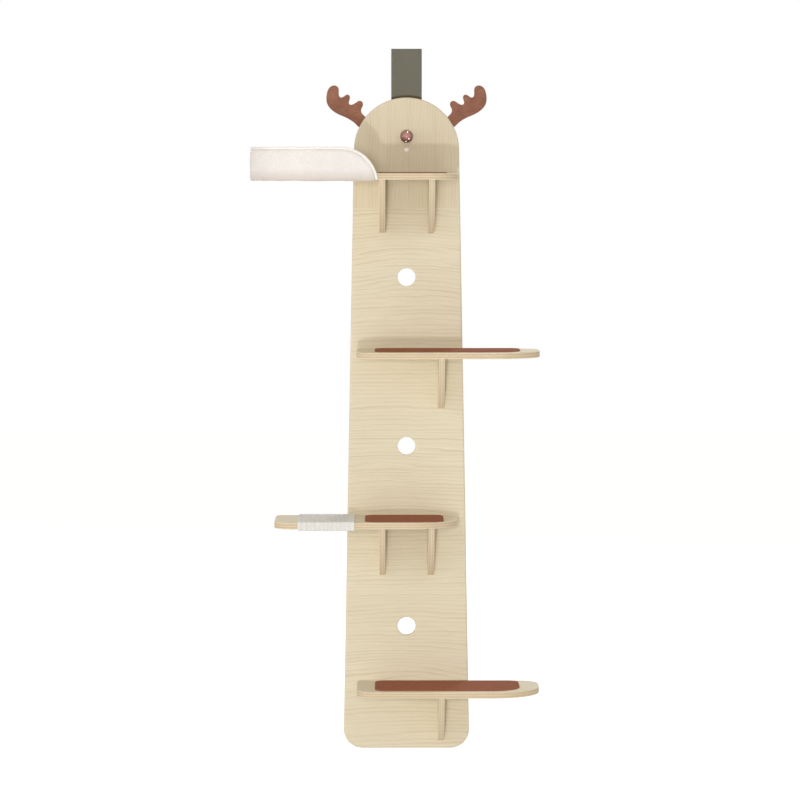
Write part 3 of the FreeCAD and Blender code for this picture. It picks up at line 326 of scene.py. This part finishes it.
def foam(name):
    """Closed cell foam, dark grey, with small pores."""
    s = Surface(name, Specular_IOR_Level=0.2, Roughness=0.9)
    pores = s.cells(s.place, 900.0)
    s.colour(s.blend(s.span(pores, 0.2, 0.6), srgb(58, 58, 58), srgb(84, 84, 83)))
    s.relief(pores, 0.0004, 0.7)
    return s.material


def stained(name, base, dark, light):
    """Brown stained and matt sealed wood of the antlers."""
    s = Surface(name, Specular_IOR_Level=0.3)
    grain = s.noise(s.vector(s.calc("MULTIPLY", s.x, 60.0), s.calc("MULTIPLY", s.z, 420.0), 2.0),
                    1.0, 3.0, 0.6, 0.4)
    cloud = s.noise(s.place, 28.0, 3.0, 0.5)
    tone = s.blend(s.span(cloud, 0.3, 0.7), base, light)
    s.colour(s.blend(s.span(grain, 0.45, 0.8, 0.0, 0.55), tone, dark))
    s.rough(s.span(grain, 0.2, 0.8, 0.5, 0.68))
    s.relief(grain, 0.0002, 0.5)
    return s.material


def lacquer(name, centre, radius, base, deep):
    """High gloss brown lacquer over turned wood, with painted light at the front and painted shade
    darker away from the axis through `centre`.
    """
    s = Surface(name, Specular_IOR_Level=0.3, Coat_Weight=0.8, Coat_Roughness=0.03)
    cloud = s.noise(s.place, 140.0, 3.0, 0.6)
    # Painted light on the nose's front and painted shade towards its rim, with a random mottle mixed in.
    away = s.radius(centre.x, centre.z + radius * 0.12)
    painted_rim_shade_and_mottle = s.calc("ADD", s.span(away, radius * 0.3, radius, 0.0, 1.0),
                   s.span(cloud, 0.3, 0.7, -0.15, 0.15))
    s.colour(s.blend(painted_rim_shade_and_mottle, base, deep))
    s.rough(s.span(cloud, 0.3, 0.7, 0.12, 0.22))
    s.relief(s.noise(s.place, 90.0, 1.0), 0.0002, 0.3)
    return s.material


def moulded(name, base, shade):
    """Glossy moulded plastic."""
    s = Surface(name, Specular_IOR_Level=0.5, Coat_Weight=0.5, Coat_Roughness=0.12)
    grain = s.noise(s.place, 2600.0, 2.0, 0.5)
    s.colour(s.blend(s.span(grain, 0.3, 0.8, 0.0, 0.5), base, shade))
    s.rough(s.span(grain, 0.3, 0.7, 0.2, 0.3))
    s.relief(grain, 0.00005, 0.5)
    return s.material


# ---------------------------------------------------------------- pieces

def dress(node, material):
    """Give a CAD node its material."""
    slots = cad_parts[node].data.materials
    slots.clear()
    slots.append(material)


def add_piece(name, mesh, material, slot, *nodes):
    """A new piece from a mesh, in place of the CAD nodes named."""
    piece = bpy.data.objects.new(name, mesh)
    bpy.context.scene.collection.objects.link(piece)
    mesh.materials.clear()
    mesh.materials.append(material)
    mesh.shade_smooth()
    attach(piece, "root")
    if nodes:
        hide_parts(*nodes)
    return piece


def modified(piece, kind, **settings):
    """Apply one modifier to a piece's mesh."""
    modifier = piece.modifiers.new(kind.lower(), kind)
    for key, value in settings.items():
        setattr(modifier, key, value)
    graph = bpy.context.evaluated_depsgraph_get()
    mesh = bpy.data.meshes.new_from_object(piece.evaluated_get(graph), depsgraph=graph)
    piece.modifiers.clear()
    piece.data = mesh
    return piece


def corner_arc(centre_x, centre_y, radius, start, count=10):
    """Quarter turn of points, anticlockwise from the angle `start` in degrees."""
    angles = [math.radians(start + 90 * step / count) for step in range(count + 1)]
    return [(centre_x + radius * math.cos(a), centre_y + radius * math.sin(a)) for a in angles]


def rounded(left, right, front, back, radii):
    """Rounded rectangle from above; radii are right back, left back, left front, right front."""
    rb, lb, lf, rf = radii
    return (corner_arc(right - rb, back - rb, rb, 0) + corner_arc(left + lb, back - lb, lb, 90)
            + corner_arc(left + lf, front + lf, lf, 180) + corner_arc(right - rf, front + rf, rf, 270))


def skin(rings):
    """A closed bmesh over rings of equal length, each joined to the next."""
    bm = bmesh.new()
    rows = [[bm.verts.new(point) for point in ring] for ring in rings]
    count = len(rings[0])
    for lower, upper in zip(rows, rows[1:]):
        for i in range(count):
            j = (i + 1) % count
            bm.faces.new((lower[i], lower[j], upper[j], upper[i]))
    bm.faces.new(list(reversed(rows[0])))
    bm.faces.new(rows[-1])
    bmesh.ops.recalc_face_normals(bm, faces=bm.faces)
    return bm


def finished(name, bm):
    """The bmesh as mesh data."""
    mesh = bpy.data.meshes.new(name)
    bm.to_mesh(mesh)
    bm.free()
    return mesh


def tube(name, path, radius, sides):
    """Round tube along a path, with a UV map in metres along it and in turns round it."""
    bm = bmesh.new()
    layer = bm.loops.layers.uv.new("UVMap")
    count = len(path)
    rows = []
    run = [0.0]
    for here, there in zip(path, path[1:]):
        run.append(run[-1] + (there - here).length)
    normal = Vector((0.13, 0.31, 0.94))             # along none of the path's runs
    for i, point in enumerate(path):
        ahead = path[min(i + 1, count - 1)] - path[max(i - 1, 0)]
        ahead.normalize()
        normal = (normal - ahead * normal.dot(ahead)).normalized()
        side = ahead.cross(normal)
        rows.append([bm.verts.new(point + (normal * math.cos(a) + side * math.sin(a)) * radius)
                     for a in (math.tau * k / sides for k in range(sides))])
    for i in range(count - 1):
        for k in range(sides):
            n = (k + 1) % sides
            face = bm.faces.new((rows[i][k], rows[i][n], rows[i + 1][n], rows[i + 1][k]))
            spots = ((run[i], k), (run[i], k + 1), (run[i + 1], k + 1), (run[i + 1], k))
            for loop, (along, turn) in zip(face.loops, spots):
                loop[layer].uv = (along, turn / sides)
    bm.faces.new(list(reversed(rows[0])))
    bm.faces.new(rows[-1])
    bmesh.ops.recalc_face_normals(bm, faces=bm.faces)
    return finished(name, bm)


def roughen(mesh, coarse, fine, coarse_size, fine_size, seed=0.0, push=0.0):
    """Push vertices along their normals by `push`, a coarse noise and a fine one."""
    offset = Vector((seed, seed * 0.7, seed * 1.3))
    moves = []
    for vertex in mesh.vertices:
        big = noise.noise(vertex.co / coarse_size + offset)
        small = noise.noise(vertex.co / fine_size + offset)
        moves.append(vertex.normal * (push + big * coarse + small * fine))
    for vertex, move in zip(mesh.vertices, moves):
        vertex.co += move
    mesh.update()


def inflate(piece, pressure, cap, steps):
    """Puff a closed mesh up with cloth simulation and hold each point within `cap` of its start."""
    start = [vertex.co.copy() for vertex in piece.data.vertices]
    cloth = piece.modifiers.new("cloth", "CLOTH")
    settings = cloth.settings
    settings.use_pressure = True
    settings.uniform_pressure_force = pressure
    settings.effector_weights.gravity = 0.0
    settings.quality = 6
    settings.tension_stiffness = 30
    settings.compression_stiffness = 30
    settings.shear_stiffness = 12
    settings.bending_stiffness = 1.0
    scene = bpy.context.scene
    for number in range(1, steps + 1):
        scene.frame_set(number)
    graph = bpy.context.evaluated_depsgraph_get()
    mesh = bpy.data.meshes.new_from_object(piece.evaluated_get(graph), depsgraph=graph)
    piece.modifiers.clear()
    piece.data = mesh
    scene.frame_set(1)
    for vertex, home in zip(mesh.vertices, start):
        move = vertex.co - home
        if move.length > cap:
            vertex.co = home + move * (cap / move.length)
    mesh.update()


# ---------------------------------------------------------------- wood and hardware

BOARD_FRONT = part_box("head_board")[0].y
BOARD_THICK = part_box("head_board")[1].y - BOARD_FRONT
BRACKETS = [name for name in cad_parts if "_bracket_" in name or name.endswith("_bracket")]
HARDWARE = ("antler_screws", "bracket_bolts", "bracket_nuts", "clamp_screws", "nest_screws",
            "nose_screw", "shelf_bolts", "shelf_nuts", "splice_bolts", "splice_screws",
            "step_screws", "strap_clamp")


def dress_wood():
    """Plywood on boards, steps and brackets, each with its own grain direction."""
    dress("head_board", plywood("head_ply", "Z", "Y", BOARD_FRONT, BOARD_THICK, 4.0, (230, 219, 193),
                                (197, 177, 142), 7 * MM, 1.0))
    dress("body_board", plywood("body_ply", "X", "Y", BOARD_FRONT, BOARD_THICK, 9.0, arch=1.6))
    low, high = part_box("splice_plate")
    dress("splice_plate", plywood("splice_ply", "X", "Y", low.y, high.y - low.y, 21.0))
    for number, name in enumerate(("top_platform", "upper_shelf", "middle_shelf", "lower_shelf")):
        low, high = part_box(name)
        dress(name, plywood(f"{name}_ply", "X", "Z", low.z, high.z - low.z, 31.0 + 5 * number))
    for number, name in enumerate(BRACKETS):
        low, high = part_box(name)
        # Bracket edges get painted light: a lighter ply edge against the shade on their fronts.
        dress(name, plywood(f"{name}_ply", "Z", "X", low.x, high.x - low.x, 60.0 + 3 * number,
                            edges=BRACKET_EDGE_PAINTED_LIGHT))
    low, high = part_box("nest_wall")
    dress("nest_wall", plywood("nest_ply", "X", "Z", low.z, high.z - low.z, 93.0))


def dress_small_parts():
    """Antlers, nose, cap, steel and foam."""
    brown = stained("antler_brown", srgb(133, 84, 62), srgb(86, 50, 36), srgb(156, 104, 79))
    for name in ("antler_left", "antler_right"):
        dress(name, brown)
    low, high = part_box("nose_knob")
    # The nose's pale front colour is painted light and its dark rim colour painted shade.
    dress("nose_knob", lacquer("nose_lacquer", (low + high) / 2, (high.x - low.x) / 2,
                               srgb(196, 136, 122), srgb(84, 40, 28)))
    dress("screw_cap", moulded("cap_plastic", srgb(255, 253, 243), srgb(255, 248, 234)))
    dress("wall_pads", foam("pad_foam"))
    steel = zinc("zinc_steel")
    for name in HARDWARE:
        dress(name, steel)


# ---------------------------------------------------------------- felt mats

FELT_THICK = 1.8 * MM
MAT_EDGE = 0.7 * MM
MAT_PROFILE = ((0.3, 0.0), (0.0, 0.25), (0.0, 0.6), (0.35, 0.88), (1.2, 1.0), (5.0, 1.0),
               (9.0, 0.97))                # shares of MAT_EDGE inwards and of FELT_THICK upwards
MAT_CORNER = 25 * MM
MAT_SWEEP = 65 * MM
STEP_OF = {"platform_mat": "top_platform", "upper_mat": "upper_shelf", "middle_mat": "middle_shelf",
           "lower_mat": "lower_shelf"}


def make_mats():
    """Felt mats with softly pressed edges."""
    brown = felt("mat_felt", srgb(163, 103, 79), srgb(143, 88, 65), srgb(181, 122, 97))
    for name, step in STEP_OF.items():
        low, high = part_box(name)
        sweep = MAT_SWEEP if name in ("upper_mat", "lower_mat") else MAT_CORNER
        radii = (MAT_CORNER, MAT_CORNER, MAT_CORNER, sweep)
        rings = []
        for inset, height in MAT_PROFILE:
            gap = inset * MAT_EDGE
            outline = rounded(low.x + gap, high.x - gap, low.y + gap, high.y - gap,
                              [radius - gap for radius in radii])
            z = low.z + FELT_THICK * height
            rings.append([(x, y, z) for x, y in outline])
        piece = add_piece(name.replace("_mat", "_felt"), finished(name, skin(rings)), brown,
                          "brown_felt", name)


# ---------------------------------------------------------------- wound grip

YARN = 3.0 * MM
YARN_GAP = 0.1 * MM
YARN_SIDES = 8
YARN_WOBBLE = 0.12 * MM
STRAND_TWIST = 2.0            # strands in a turn of the cord
STRAND_PITCH = 6 * MM
WRAP_CORNER = 2.4 * MM
WRAP_SAG = 0.5 * MM


def make_grip():
    """Cord wound tightly round the middle shelf, turn beside turn."""
    low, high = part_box("grip_wrap")
    turns = int((high.x - low.x) / YARN)
    pitch = (high.x - low.x - YARN) / (turns - 1)
    inset = YARN / 2
    loop = rounded(low.y + inset, high.y - inset, low.z + inset - WRAP_SAG, high.z - inset,
                   [WRAP_CORNER] * 4)
    rng = random.Random(5)
    wobble = [rng.uniform(-YARN_WOBBLE, YARN_WOBBLE) for _ in range(turns + 1)]
    path = []
    for turn in range(turns):
        for number, (y, z) in enumerate(loop):
            share = number / len(loop)
            shift = wobble[turn] * (1 - share) + wobble[turn + 1] * share
            x = low.x + inset + min((turn + share) * pitch, (turns - 1) * pitch)
            path.append(Vector((x + shift, y, z)))
    yarn = spun("grip_cord", srgb(250, 248, 243), srgb(216, 212, 204), STRAND_TWIST, STRAND_PITCH)
    mesh = tube("wound_grip", path, (YARN - YARN_GAP) / 2, YARN_SIDES)
    add_piece("wound_grip", mesh, yarn, "white_cord_wrap", "grip_wrap")


# ---------------------------------------------------------------- hanging strap

STRAP_HALF = 36.5 * MM
STRAP_THICK = 2.5 * MM
STRAP_RIB = 2.5 * MM
STRAP_COLUMNS = 6             # columns of faces to each rib
SELVEDGE = 1.2 * MM
RIB_CROWN = 0.14              # share of the thickness that a rib stands proud
# Painted shadow of the head's top edge on the strap: its half width, then its tone.
STRAP_SHADOW_WIDTH = 7 * MM
STRAP_SHADOW_TONE = srgb(74, 60, 44)
STRAP_FOOT = 150 * MM
STRAP_STEP = 238 * MM
STRAP_TURN = 20 * MM
STRAP_SLACK = 0.2 * MM
LOOP_GAP = 5.5 * MM
LOOP_RISE = 2 * MM


def strap_route():
    """Middle line of the webbing as (y, z): up the board, over the bend and back down."""
    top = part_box("hanging_strap")[1].z
    front = BOARD_FRONT + BOARD_THICK + STRAP_THICK / 2
    back = front + LOOP_GAP + STRAP_THICK
    clamped = front + STRAP_THICK + STRAP_SLACK
    bend = (back - front) / 2
    spring = top + LOOP_RISE - STRAP_THICK / 2 - bend
    shift = back - clamped
    drop = math.sqrt(STRAP_TURN * shift - shift * shift / 4)
    route = [(front, STRAP_FOOT + (spring - STRAP_FOOT) * step / 40) for step in range(40)]
    route += [(front + bend - bend * math.cos(a), spring + bend * math.sin(a))
              for a in (math.pi * step / 12 for step in range(13))]
    route += [(back, spring - (spring - STRAP_STEP) * step / 24) for step in range(1, 25)]
    turn = math.asin(drop / STRAP_TURN)
    route += [(back - STRAP_TURN * (1 - math.cos(turn * step / 5)),
               STRAP_STEP - STRAP_TURN * math.sin(turn * step / 5)) for step in range(1, 6)]
    route += [(clamped + STRAP_TURN * (1 - math.cos(turn * (5 - step) / 5)),
               STRAP_STEP - 2 * drop + STRAP_TURN * math.sin(turn * (5 - step) / 5))
              for step in range(1, 6)]
    end = STRAP_STEP - 2 * drop
    route += [(clamped, end - (end - STRAP_FOOT) * step / 12) for step in range(1, 13)]
    return route


def make_strap():
    """Ribbed webbing along the strap's route."""
    route = strap_route()
    columns = round(2 * STRAP_HALF / STRAP_RIB) * STRAP_COLUMNS
    across = [STRAP_HALF * (2 * k / columns - 1) for k in range(columns + 1)]
    half = []
    for k, x in enumerate(across):
        crown = RIB_CROWN * abs(math.sin(math.pi * k / STRAP_COLUMNS))
        edge = min(1.0, (STRAP_HALF - abs(x)) / SELVEDGE)
        rounding = math.sqrt(max(edge * (2 - edge), 0.02))
        half.append(STRAP_THICK / 2 * rounding * (1 - RIB_CROWN + crown))
    bm = bmesh.new()
    layer = bm.loops.layers.uv.new("UVMap")
    runs = [0.0]
    for here, there in zip(route, route[1:]):
        runs.append(runs[-1] + math.dist(here, there))
    rows = []
    for i, (y, z) in enumerate(route):
        before, after = route[max(i - 1, 0)], route[min(i + 1, len(route) - 1)]
        ahead = Vector((0, after[0] - before[0], after[1] - before[1])).normalized()
        out = Vector((0, -ahead.z, ahead.y))
        middle = Vector((0, y, z))
        face = [bm.verts.new(middle + Vector((x, 0, 0)) + out * h) for x, h in zip(across, half)]
        back = [bm.verts.new(middle + Vector((x, 0, 0)) - out * h) for x, h in zip(across, half)]
        rows.append(face + list(reversed(back)))
    width = [x + STRAP_HALF for x in across]
    aside = width + list(reversed(width))
    for i, (here, there) in enumerate(zip(rows, rows[1:])):
        for k in range(len(here)):
            n = (k + 1) % len(here)
            quad = bm.faces.new((here[k], here[n], there[n], there[k]))
            spots = ((runs[i], aside[k]), (runs[i], aside[n]), (runs[i + 1], aside[n]),
                     (runs[i + 1], aside[k]))
            for loop, spot in zip(quad.loops, spots):
                loop[layer].uv = spot
    bm.faces.new(list(reversed(rows[0])))
    bm.faces.new(rows[-1])
    bmesh.ops.recalc_face_normals(bm, faces=bm.faces)
    low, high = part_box("head_board")
    radius = (high.x - low.x) / 2
    grey = webbing("strap_webbing", srgb(123, 121, 107), srgb(90, 87, 75), STRAP_RIB,
                   high.z - radius, radius, STRAP_SHADOW_WIDTH)
    piece = add_piece("strap_webbing", finished("strap_webbing", bm), grey, "grey_webbing",
                      "hanging_strap")


# ---------------------------------------------------------------- nest

PLUSH_LIGHT = srgb(247, 242, 238)
PLUSH_SHADE = srgb(232, 223, 216)
# Painted shade along the sleeve's lower edge: its tone, then its height.
PLUSH_PAINTED_SHADE = srgb(208, 194, 181)
PAINTED_SHADE_HEIGHT = 26 * MM         # how far up the sleeve the painted shade reaches
PILE = 0.8 * MM
COVER_VOXEL = 3.5 * MM
CUSHION_VOXEL = 5 * MM
CUSHION_PRESSURE = 3.0
CUSHION_CAP = 5 * MM
CUSHION_FRAMES = 20


def body_copy(name, node):
    """A copy of a CAD node's mesh with its vertices joined."""
    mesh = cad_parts[node].data.copy()
    mesh.name = name
    bm = bmesh.new()
    bm.from_mesh(mesh)
    bmesh.ops.remove_doubles(bm, verts=bm.verts, dist=1e-6)
    bm.to_mesh(mesh)
    bm.free()
    return mesh


def redress(piece, material):
    """Give a remeshed piece its material again."""
    piece.data.materials.clear()
    piece.data.materials.append(material)


def make_cover(material):
    """Plush sleeve: remeshed, softened and given its uneven pile."""
    piece = add_piece("plush_sleeve", body_copy("plush_sleeve", "nest_cover"), material,
                      "white_plush", "nest_cover")
    modified(piece, "REMESH", mode="VOXEL", voxel_size=COVER_VOXEL)
    modified(piece, "SMOOTH", factor=0.5, iterations=4)
    piece.data.shade_smooth()
    roughen(piece.data, 0.9 * MM, 0.35 * MM, 35 * MM, 9 * MM, 3.0, PILE)
    redress(piece, material)


def make_cushion(material):
    """Filled cushion on the nest's floor, puffed by cloth simulation."""
    piece = add_piece("nest_pillow", body_copy("nest_pillow", "nest_cushion"), material,
                      "white_plush", "nest_cushion")
    modified(piece, "REMESH", mode="VOXEL", voxel_size=CUSHION_VOXEL)
    inflate(piece, CUSHION_PRESSURE, CUSHION_CAP, CUSHION_FRAMES)
    modified(piece, "SMOOTH", factor=0.5, iterations=3)
    modified(piece, "SUBSURF", levels=1)
    piece.data.shade_smooth()
    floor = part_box("nest_cushion")[0].z
    for vertex in piece.data.vertices:
        vertex.co.z = max(vertex.co.z, floor)
    roughen(piece.data, 1.0 * MM, 0.3 * MM, 40 * MM, 10 * MM, 8.0)
    redress(piece, material)


def make_piping():
    """Covered cord along the sleeve's outer rim."""
    cream = felt("piping_cloth", srgb(254, 251, 244), srgb(246, 241, 230), srgb(255, 253, 248), 1400.0)
    mesh = body_copy("rim_piping", "nest_piping")
    add_piece("rim_piping", mesh, cream, "cream_piping", "nest_piping")


# ---------------------------------------------------------------- stage, light and camera

PIXEL = 2.4 * MM              # size of a pixel at the board's front face
BOARD_MIDDLE_PX = 406.5
FOOT_PX = 749.2
CAMERA_AWAY = 8.7
CAMERA_PX = (385, 163)        # the picture's column and row that lie level with the camera
AIM_PX = (400, 399)
LENS = 163.8
SENSOR = 36.0
FLOOR_DROP = 0.12             # how far the floor lies below the board's foot
FLOOR_REACH = 12.0
FLOOR_GREY = 0.82
FLOOR_LIFT = 0.5
WORLD_LIGHT = 0.62
WARM = (1.0, 0.985, 0.95)
COOL = (0.95, 0.98, 1.06)
LIT_POINT = (0, 0, -0.5)
LAMPS = (("key", (-0.25, -6.0, -1.12), 0.15, 61, COOL),          # name, place, size, power, colour
         ("front", (-0.45, -8.4, 0.2), 0.8, 148, WARM),
         ("left", (-6.0, -2.0, 0.2), 2.5, 55, WARM),
         ("back", (1.5, 4.5, 1.5), 2.0, 60, WARM))
SPARK_AWAY = 72 * MM
SPARK_SIZE = 16 * MM
SPARKS = (("spark_above", 93, 0.2, 0.055),                       # name, slant in degrees, aside, power
          ("spark_below", -50, 0.75, 0.05),
          ("spark_foot", -88, -0.15, 0.022))


def board_point(column, row):
    """The point of the board's front face that shows at a pixel of the picture."""
    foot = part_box("body_board")[0].z
    return Vector(((column - BOARD_MIDDLE_PX) * PIXEL, BOARD_FRONT, foot + (FOOT_PX - row) * PIXEL))


def make_camera():
    """Long lens level with the nest, tilted down to the middle of the whole board."""
    camera = bpy.data.objects.new("camera", bpy.data.cameras.new("camera"))
    bpy.context.scene.collection.objects.link(camera)
    camera.location = board_point(*CAMERA_PX) + Vector((0, -CAMERA_AWAY, 0))
    sight = board_point(*AIM_PX) - camera.location
    camera.rotation_euler = sight.to_track_quat("-Z", "Y").to_euler()
    camera.data.sensor_width = SENSOR
    camera.data.lens = LENS
    camera.data.clip_start = 0.1
    camera.data.clip_end = 60
    bpy.context.scene.camera = camera


def seen_rays(tree):
    """1 for camera, glossy and transmission rays, else 0."""
    path = tree.nodes.new("ShaderNodeLightPath")
    total = path.outputs["Is Camera Ray"]
    for word in ("Is Glossy Ray", "Is Transmission Ray"):
        node = tree.nodes.new("ShaderNodeMath")
        node.operation = "MAXIMUM"
        tree.links.new(total, node.inputs[0])
        tree.links.new(path.outputs[word], node.inputs[1])
        total = node.outputs[0]
    return total


def make_world():
    """White where it is seen, softer where it lights."""
    world = bpy.data.worlds.new("studio")
    bpy.context.scene.world = world
    world.use_nodes = True
    tree = world.node_tree
    background = tree.nodes["Background"]
    tint = tree.nodes.new("ShaderNodeMix")
    tint.data_type = "RGBA"
    tree.links.new(seen_rays(tree), tint.inputs[0])
    tint.inputs[6].default_value = (*(WORLD_LIGHT * part for part in WARM), 1)
    tint.inputs[7].default_value = (1, 1, 1, 1)
    tree.links.new(tint.outputs[2], background.inputs["Color"])
    background.inputs["Strength"].default_value = 1.0


def make_floor():
    """Pale floor under the object, lifted to white where it is seen unshaded."""
    material = bpy.data.materials.new("floor_white")
    material.use_nodes = True
    tree = material.node_tree
    shader = tree.nodes["Principled BSDF"]
    shader.inputs["Base Color"].default_value = (FLOOR_GREY, FLOOR_GREY, FLOOR_GREY, 1)
    shader.inputs["Roughness"].default_value = 0.9
    shader.inputs["Specular IOR Level"].default_value = 0.0
    shader.inputs["Emission Color"].default_value = (1, 1, 1, 1)
    lift = tree.nodes.new("ShaderNodeMath")
    lift.operation = "MULTIPLY"
    tree.links.new(seen_rays(tree), lift.inputs[0])
    lift.inputs[1].default_value = FLOOR_LIFT
    tree.links.new(lift.outputs[0], shader.inputs["Emission Strength"])
    height = CAD_BOX[0].z - FLOOR_DROP
    bm = bmesh.new()
    bm.faces.new([bm.verts.new((x * FLOOR_REACH, y * FLOOR_REACH, height))
                  for x, y in ((-1, -1), (1, -1), (1, 1), (-1, 1))])
    floor = bpy.data.objects.new("floor", finished("floor", bm))
    floor.data.materials.append(material)
    bpy.context.scene.collection.objects.link(floor)


def area_light(name, place, target, size, power, colour):
    """A soft round lamp that faces its target."""
    data = bpy.data.lights.new(name, "AREA")
    data.shape = "DISK"
    data.size = size
    data.energy = power
    data.color = colour
    lamp = bpy.data.objects.new(name, data)
    bpy.context.scene.collection.objects.link(lamp)
    lamp.location = place
    lamp.rotation_euler = (Vector(target) - Vector(place)).to_track_quat("-Z", "Y").to_euler()
    lamp.visible_camera = False
    return lamp


def make_lights():
    """Studio lamps, and small ones for the nose's highlights that only its gloss receives."""
    for name, place, size, power, colour in LAMPS:
        area_light(name, place, LIT_POINT, size, power, colour)
    low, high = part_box("nose_knob")
    nose = (low + high) / 2
    glossy = bpy.data.collections.new("spark_receivers")
    glossy.objects.link(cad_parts["nose_knob"])
    for name, slant, aside, power in SPARKS:
        turn = math.radians(slant)
        reach = Vector((aside, -math.cos(turn), math.sin(turn))).normalized() * SPARK_AWAY
        lamp = area_light(name, nose + reach, nose, SPARK_SIZE, power, (1, 1, 1))
        lamp.visible_diffuse = False
        lamp.light_linking.receiver_collection = glossy


# ---------------------------------------------------------------- build

dress_wood()
dress_small_parts()
make_mats()
make_grip()
make_strap()
make_cover(plush("sleeve_plush", PLUSH_LIGHT, PLUSH_SHADE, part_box("nest_cover")[0].z, PAINTED_SHADE_HEIGHT))
make_cushion(plush("cushion_plush", PLUSH_LIGHT, PLUSH_SHADE))
make_piping()
make_camera()
make_world()
make_floor()
make_lights()
bpy.context.scene.view_settings.view_transform = "Standard"
